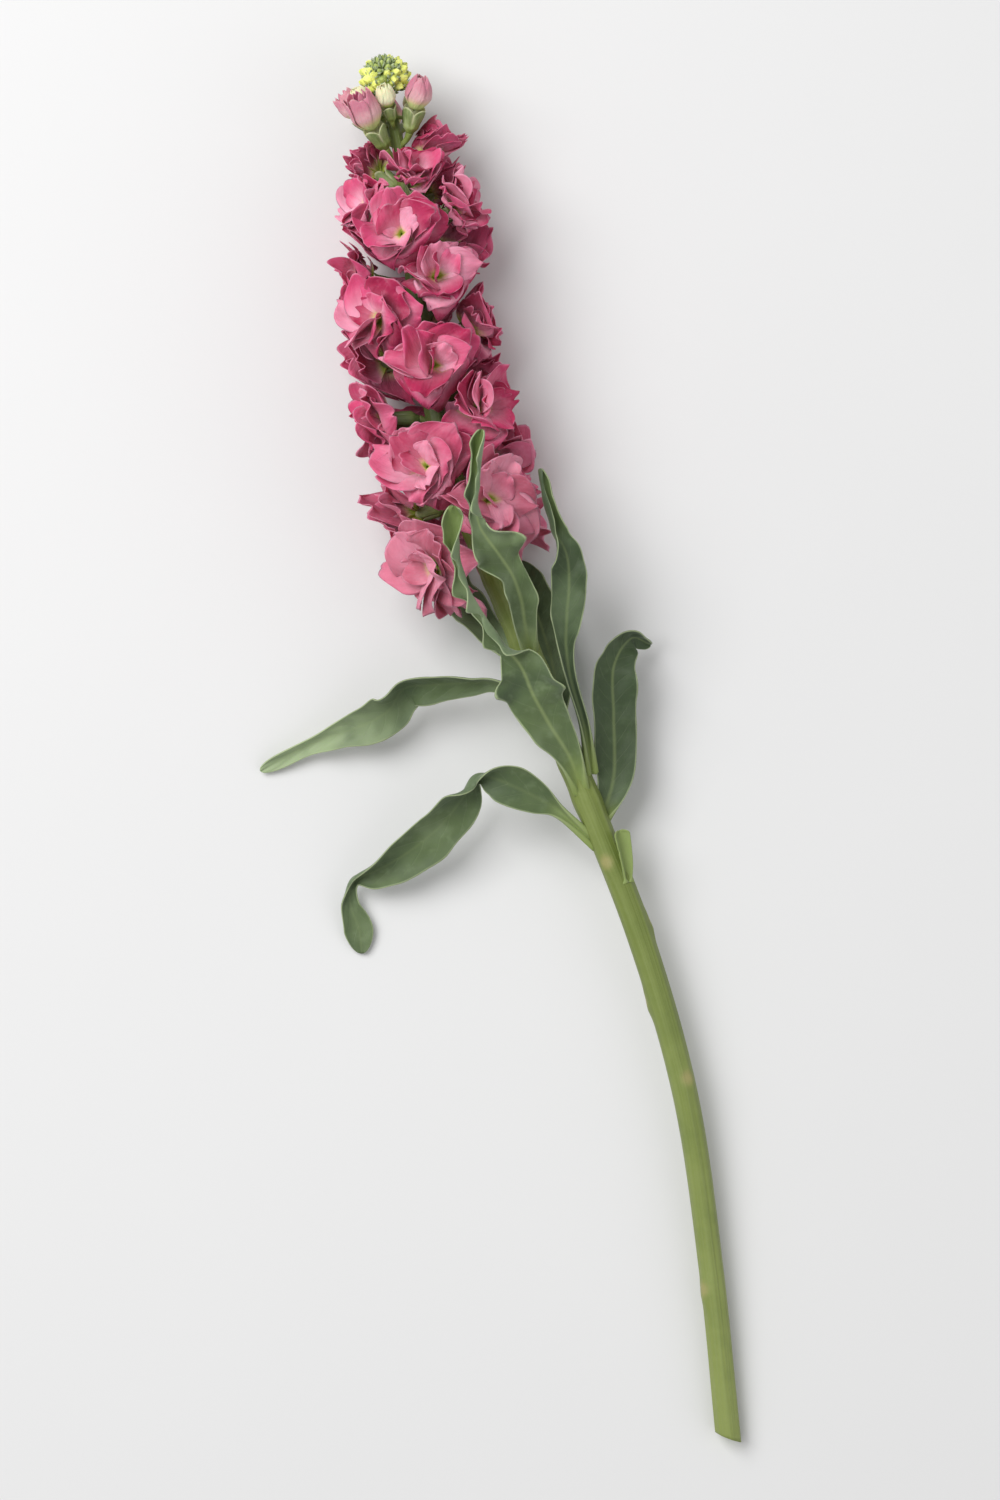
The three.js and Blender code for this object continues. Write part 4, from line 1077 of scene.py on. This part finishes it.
u, v = blade_grid(PETAL_ROWS, PETAL_COLUMNS)
for index, seat in enumerate(FLORET_SEATS):
    planes = dividing_planes(index)
    age = ease(0.3, 0, seat.share)
    parts = []
    for row, ring in enumerate(PETAL_RINGS):
        middle = petal_middles(seat, ring, index, row, u, v)
        middle = settled(middle, planes, PETAL_THICK / 2)
        key = 77 + index * 31 + row * 7 + np.arange(ring.count) * 3
        parts.append(petals(middle, u, v, PETAL_THICK, key, age, painted_shade_share(middle)))
    name = f"floret_{index + 1:02d}"
    bloom = mesh_piece(name + "_petals", joined(parts), ROSE)
    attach(bloom, "root")
    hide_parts(name)


# The buds. Above the open blooms stand four pink buds about to open and five smaller cream ones, each a
# spindle of furled petals that wrap round one another out of the calyx.
BUD_ROWS = 18
BUD_COLUMNS = 17
BUD_PETALS = 5
BUD_PETAL_THICK = 0.34
BUD_WRAPS = [0.94, 0.66]  # shares of the bud's radius
BUD_LAP = 1.5  # how far a petal's half width goes past its own share of the round
BUD_SUNK = 0.6  # how far below the calyx's mouth the petals begin
BUD_OVER = 1.06  # how far the tips would reach past the bud's length, before they are rounded off


def furled(seat, long, radius, foot, inner, key, u, v, loosened):
    """Petals wrapped round a bud. The radius follows a spindle's profile up the axis, which stays wider at
    the top of a loosened bud; each petal covers its share of the round and more, one edge tucked under its
    neighbour and the other lying over the next, and the wrap turns slowly on the way up."""
    k = np.arange(BUD_PETALS)
    loose = draw(key + k)[:, None, None]
    shares = [0.95 + 0.05 * loosened, 0.72 + 0.22 * loosened, 0.26 + 0.5 * loosened]
    profile = [[foot], [foot + 0.62 * (radius - foot)], [radius], *([radius * share] for share in shares)]
    spindle = along(profile, np.clip(u, 0, 1))[:, 0][None, :, None]
    u = u[None, :, None]
    v = v[None, None, :]
    half = np.pi / BUD_PETALS * BUD_LAP * (1 - 0.35 * u**6)
    turn = 2 * np.pi * k[:, None, None] / BUD_PETALS + half * v + 0.7 * u + 2 * inner
    lap = 1 + 0.09 * v + 0.03 * np.sin(6 * v + 6.28 * loose) * u**2
    flare = 1 + (0.15 + 0.8 * loosened) * loose * u**5
    r = spindle * lap * flare * inner
    ragged = 0.015 * np.sin(9 * v + 20 * loose) + loosened * 0.05 * np.sin(5 * v + 30 * loose)
    top = u * (1 - 0.2 * v**2 * u - (0.06 + 0.1 * loosened) * loose + ragged * u)
    height = -BUD_SUNK + (long + BUD_SUNK) * top * BUD_OVER
    return seat.mouth + height[..., None] * seat.axis + r[..., None] * spun(turn, seat.across, seat.along)


BUD_TISSUE = {
    "bud_pink": petal_material(
        "pink bud",
        inner=0xF3D6CC, outer=0xD07C92, deep=0xA24468, back=0xD0909E, faded=0xD99CA6,
        heart=0xC8CF8A, glow=0.2,
    ),
    "bud_cream": petal_material(
        "cream bud",
        inner=0xF2EFD2, outer=0xE9E3B4, deep=0xC5CB84, back=0xEFE6C8, faded=0xEFE6C8,
        heart=0xB5C36A, glow=0.25,
    ),
}
u, v = blade_grid(BUD_ROWS, BUD_COLUMNS)
for kind, seat in BUD_SEATS:
    long = mix(*kind["long"], seat.share)
    radius = mix(*kind["radius"], seat.share)
    loosened = kind["loose"][seat.number]
    parts = []
    for wrap, inner in enumerate(BUD_WRAPS):
        key = 300 + 17 * seat.number + 5 * wrap + kind["before"]
        middle = furled(seat, long, radius, kind["foot"], inner, key, u, v, loosened)
        keys = key + np.arange(BUD_PETALS)
        parts.append(petals(middle, u, v, BUD_PETAL_THICK, keys, 0, np.zeros(middle.shape[:3])))
    name = f"{kind['name']}_{seat.number + 1:02d}"
    bud = mesh_piece(name + "_petals", joined(parts), BUD_TISSUE[kind["name"]])
    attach(bud, "root")
    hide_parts(name)


# The head of young buds at the tip. Several dozen tiny buds crowd on a dome: the youngest, in the middle,
# are shut in grey-green sepals, and the older ones round them show crumpled yellow-green petals.
HEAD_RISE = 8  # of the head's middle over the stem's tip
HEAD_CORE = 5  # radius of the green core
HEAD_BUDS = 46
HEAD_OUT = 4  # from the head's middle to a young bud's foot
HEAD_TILT = 0.8  # how far the head looks up from the stem's own way
YOUNG_RADIUS = [1.35, 2.1]  # of the youngest bud, in the middle, and the oldest, at the rim
YOUNG_LONG = [3.7, 5.3]
YOUNG_SIDES = 16
YOUNG_RINGS = 9
SEPAL_HALF_THICK = 0.12


def young_bud(centre, way, across, radius, long, key, ripe):
    """A tiny egg-shaped bud: rings whose radius rises and falls as a sine of the way up, pinched between
    four sepals below and crumpled at the top."""
    up = np.linspace(0.04, 0.97, YOUNG_RINGS)[:, None]
    turn = all_round(YOUNG_SIDES)[None]
    lobes = 0.95 + 0.1 * np.abs(np.cos(2 * turn)) * (1 - up)
    crumple = 0.26 * ripe * np.sin(5 * turn + 6.28 * draw(key)) * np.sin(9 * up + 6.28 * draw(key + 1)) * up
    shape = np.sin(np.pi * up**0.8) ** 0.75 * (1 - 0.2 * up)
    r = radius * shape * (lobes + crumple)
    height = long * (up + 0.06 * ripe * np.sin(3 * turn + 6.28 * draw(key + 2)) * up)
    rings = centre + height[..., None] * way + r[..., None] * spun(turn, across, np.cross(way, across))
    points, faces = tube(centre, rings, centre + long * way)
    rise = with_poles(up * np.ones_like(turn), 0, 1)
    return points, faces, {"rise": rise, "ripe": np.full(len(points), ripe)}


def young_sepals(centre, way, across, radius, long, key, ripe):
    """Four narrow pointed sepals that clasp a tiny bud, their tips a little clear of it. Their half width
    falls as a power of the way up, and their radius follows the bud's own sine."""
    u = np.linspace(0, 1, 7)[None, :, None]
    v = np.linspace(-1, 1, 5)[None, None, :]
    turn = (np.arange(4) * np.pi / 2 + 6.28 * draw(key + 3))[:, None, None] + v * 0.75 * (1 - u**1.5) ** 0.7
    reach = (0.72 if ripe else 1.02) + 0.1 * draw(key + 5)
    grown = np.sin(np.pi * np.clip(u * 0.8, 0.05, 1) ** 0.8) ** 0.75
    r = radius * (grown * 1.1 + 0.14 + 0.12 * u**3) - 0.12 * v**2
    height = long * reach * u * (1 - 0.05 * v**2)
    middle = centre + height[..., None] * way + r[..., None] * spun(turn, across, np.cross(way, across))
    points, faces = blades(middle, SEPAL_HALF_THICK, SEPAL_HALF_THICK)
    rise = on_both(u * np.ones_like(turn))
    return points, faces, {"rise": rise, "ripe": np.full(len(points), -1.0)}


def head_material():
    """Green where a bud is young and yellow-green where it is ripe, in grey-green sepals."""
    material, tree = new_material("young buds")
    rise = layer(tree, "rise", 2)
    ripe = layer(tree, "ripe", 2)
    young = blended(tree, rise, 0.3, 1.0, 0x8FA34E, 0xB4C46C)
    crumpled = blended(tree, rise, 0.1, 0.7, 0xBCCB3A, 0xF0F57E)
    body = blended(tree, ripe, 0.1, 0.9, young, crumpled)
    sepal = blended(tree, rise, 0.4, 1.0, 0x7C8F5E, 0xA4B290)
    tissue = blended(tree, ripe, -0.1, -0.6, body, sepal)
    shade, grain = mottled(tree, tissue, 0x5E7444, 0xD5DDA6, 0.5, 420.0)
    glow = (0.2, 0.001, GREEN_GLOW)
    return dressed(material, shade, grain, (0.4, 0.0003), roughness=0.5, specular=0.35, glow=glow)


at, tangent, side, up, _ = (a[0] for a in frames(STEM_ROUTE, np.array([1.0])))
head_centre = at + HEAD_RISE * tangent
tangent, up = unit(tangent + HEAD_TILT * up), unit(up - HEAD_TILT * tangent)
head_parts = []
for i in range(HEAD_BUDS):
    high = 1 - 1.55 * (i + 0.5) / HEAD_BUDS
    azimuth = i * GOLDEN_ANGLE
    way = high * tangent + np.sqrt(1 - high * high) * (np.cos(azimuth) * up + np.sin(azimuth) * side)
    point = unit(way + 0.35 * tangent)
    across = unit(np.cross(point, up + 0.3 * side))
    f = ease(0.85, 0.1, high)
    ripe = float(high < 0.62 and draw(i + 7) < 0.85)
    radius = mix(*YOUNG_RADIUS, f) * (0.9 + 0.25 * draw(i + 11) + 0.12 * ripe)
    long = mix(*YOUNG_LONG, f)
    centre = head_centre + HEAD_OUT * way
    head_parts.append(young_bud(centre, point, across, radius, long, i, ripe))
    head_parts.append(young_sepals(centre, point, across, radius, long, i, ripe))
# The green core behind the buds: a ball, as rings of a sine's radius at a cosine's height.
high = np.linspace(0.3, np.pi - 0.3, 10)[:, None, None]
ring = spun(np.arange(24) * np.pi / 12, side, up)
rings = head_centre + HEAD_CORE * (-np.cos(high) * tangent + np.sin(high) * ring)
points, faces = tube(head_centre - HEAD_CORE * tangent, rings, head_centre + HEAD_CORE * tangent)
head_parts.append((points, faces, {"rise": np.full(len(points), 0.1), "ripe": np.zeros(len(points))}))
head = mesh_piece("bud_head_cluster", joined(head_parts), head_material())
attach(head, "root")
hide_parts("bud_head")


# The pale floor, the soft studio light and the camera. The camera looks straight down, as the photograph
# looks at the upright stem from the side, and its frame holds the whole stem.
FLOOR_HALF = 4.0  # metres, as are the two below
FRAME_HIGH = 0.52  # of floor from the picture's lower edge to its upper
CAMERA_HIGH = 1.9


def floor_material():
    """A matt surface, nearly white."""
    material, tree = new_material("pale floor")
    shade, grain = mottled(tree, 0xE0E0E0, 0xDDDDDD, 0xE3E3E3, 0.3, 3.0)
    return dressed(material, shade, grain, (0.05, 0.0005), roughness=0.8, specular=0.2)


corner = FLOOR_HALF / MM * np.array([[-1, -1, 0], [1, -1, 0], [1, 1, 0], [-1, 1, 0]])
floor = mesh_piece("floor", (corner, [np.array([[0, 1, 2, 3]])], {}), floor_material())


def area_light(name, place, target, size, power, tint):
    """A square soft light that faces a target."""
    data = bpy.data.lights.new(name, "AREA")
    data.size = size
    data.energy = power
    data.color = tint
    lamp = bpy.data.objects.new(name, data)
    lamp.location = place
    way = np.array(target) - np.array(place)
    flat = np.hypot(way[0], way[1])
    lamp.rotation_euler = (np.arctan2(flat, -way[2]), 0, np.arctan2(way[1], way[0]) - np.pi / 2)
    bpy.context.scene.collection.objects.link(lamp)


area_light("window", (-0.9, 0.7, 1.5), (0, 0.05, 0), 1.3, 33, (1.0, 1.0, 1.0))
area_light("bounce", (1.3, -0.6, 1.2), (0, 0, 0), 1.6, 5, (1.0, 1.0, 1.0))
world = bpy.data.worlds.new("studio")
world.use_nodes = True
world.node_tree.nodes["Background"].inputs["Color"].default_value = (1.0, 1.0, 1.0, 1.0)
world.node_tree.nodes["Background"].inputs["Strength"].default_value = 0.42
bpy.context.scene.world = world
bpy.context.scene.view_settings.view_transform = "Standard"

camera_data = bpy.data.cameras.new("camera")
camera_data.sensor_fit = "VERTICAL"
camera_data.angle = 2 * np.arctan(FRAME_HIGH / 2 / CAMERA_HIGH)
camera_data.clip_end = 20
camera = bpy.data.objects.new("camera", camera_data)
low, high = cad_box
camera.location = ((low[0] + high[0]) / 2, (low[1] + high[1]) / 2, CAMERA_HIGH)
bpy.context.scene.collection.objects.link(camera)
bpy.context.scene.camera = camera
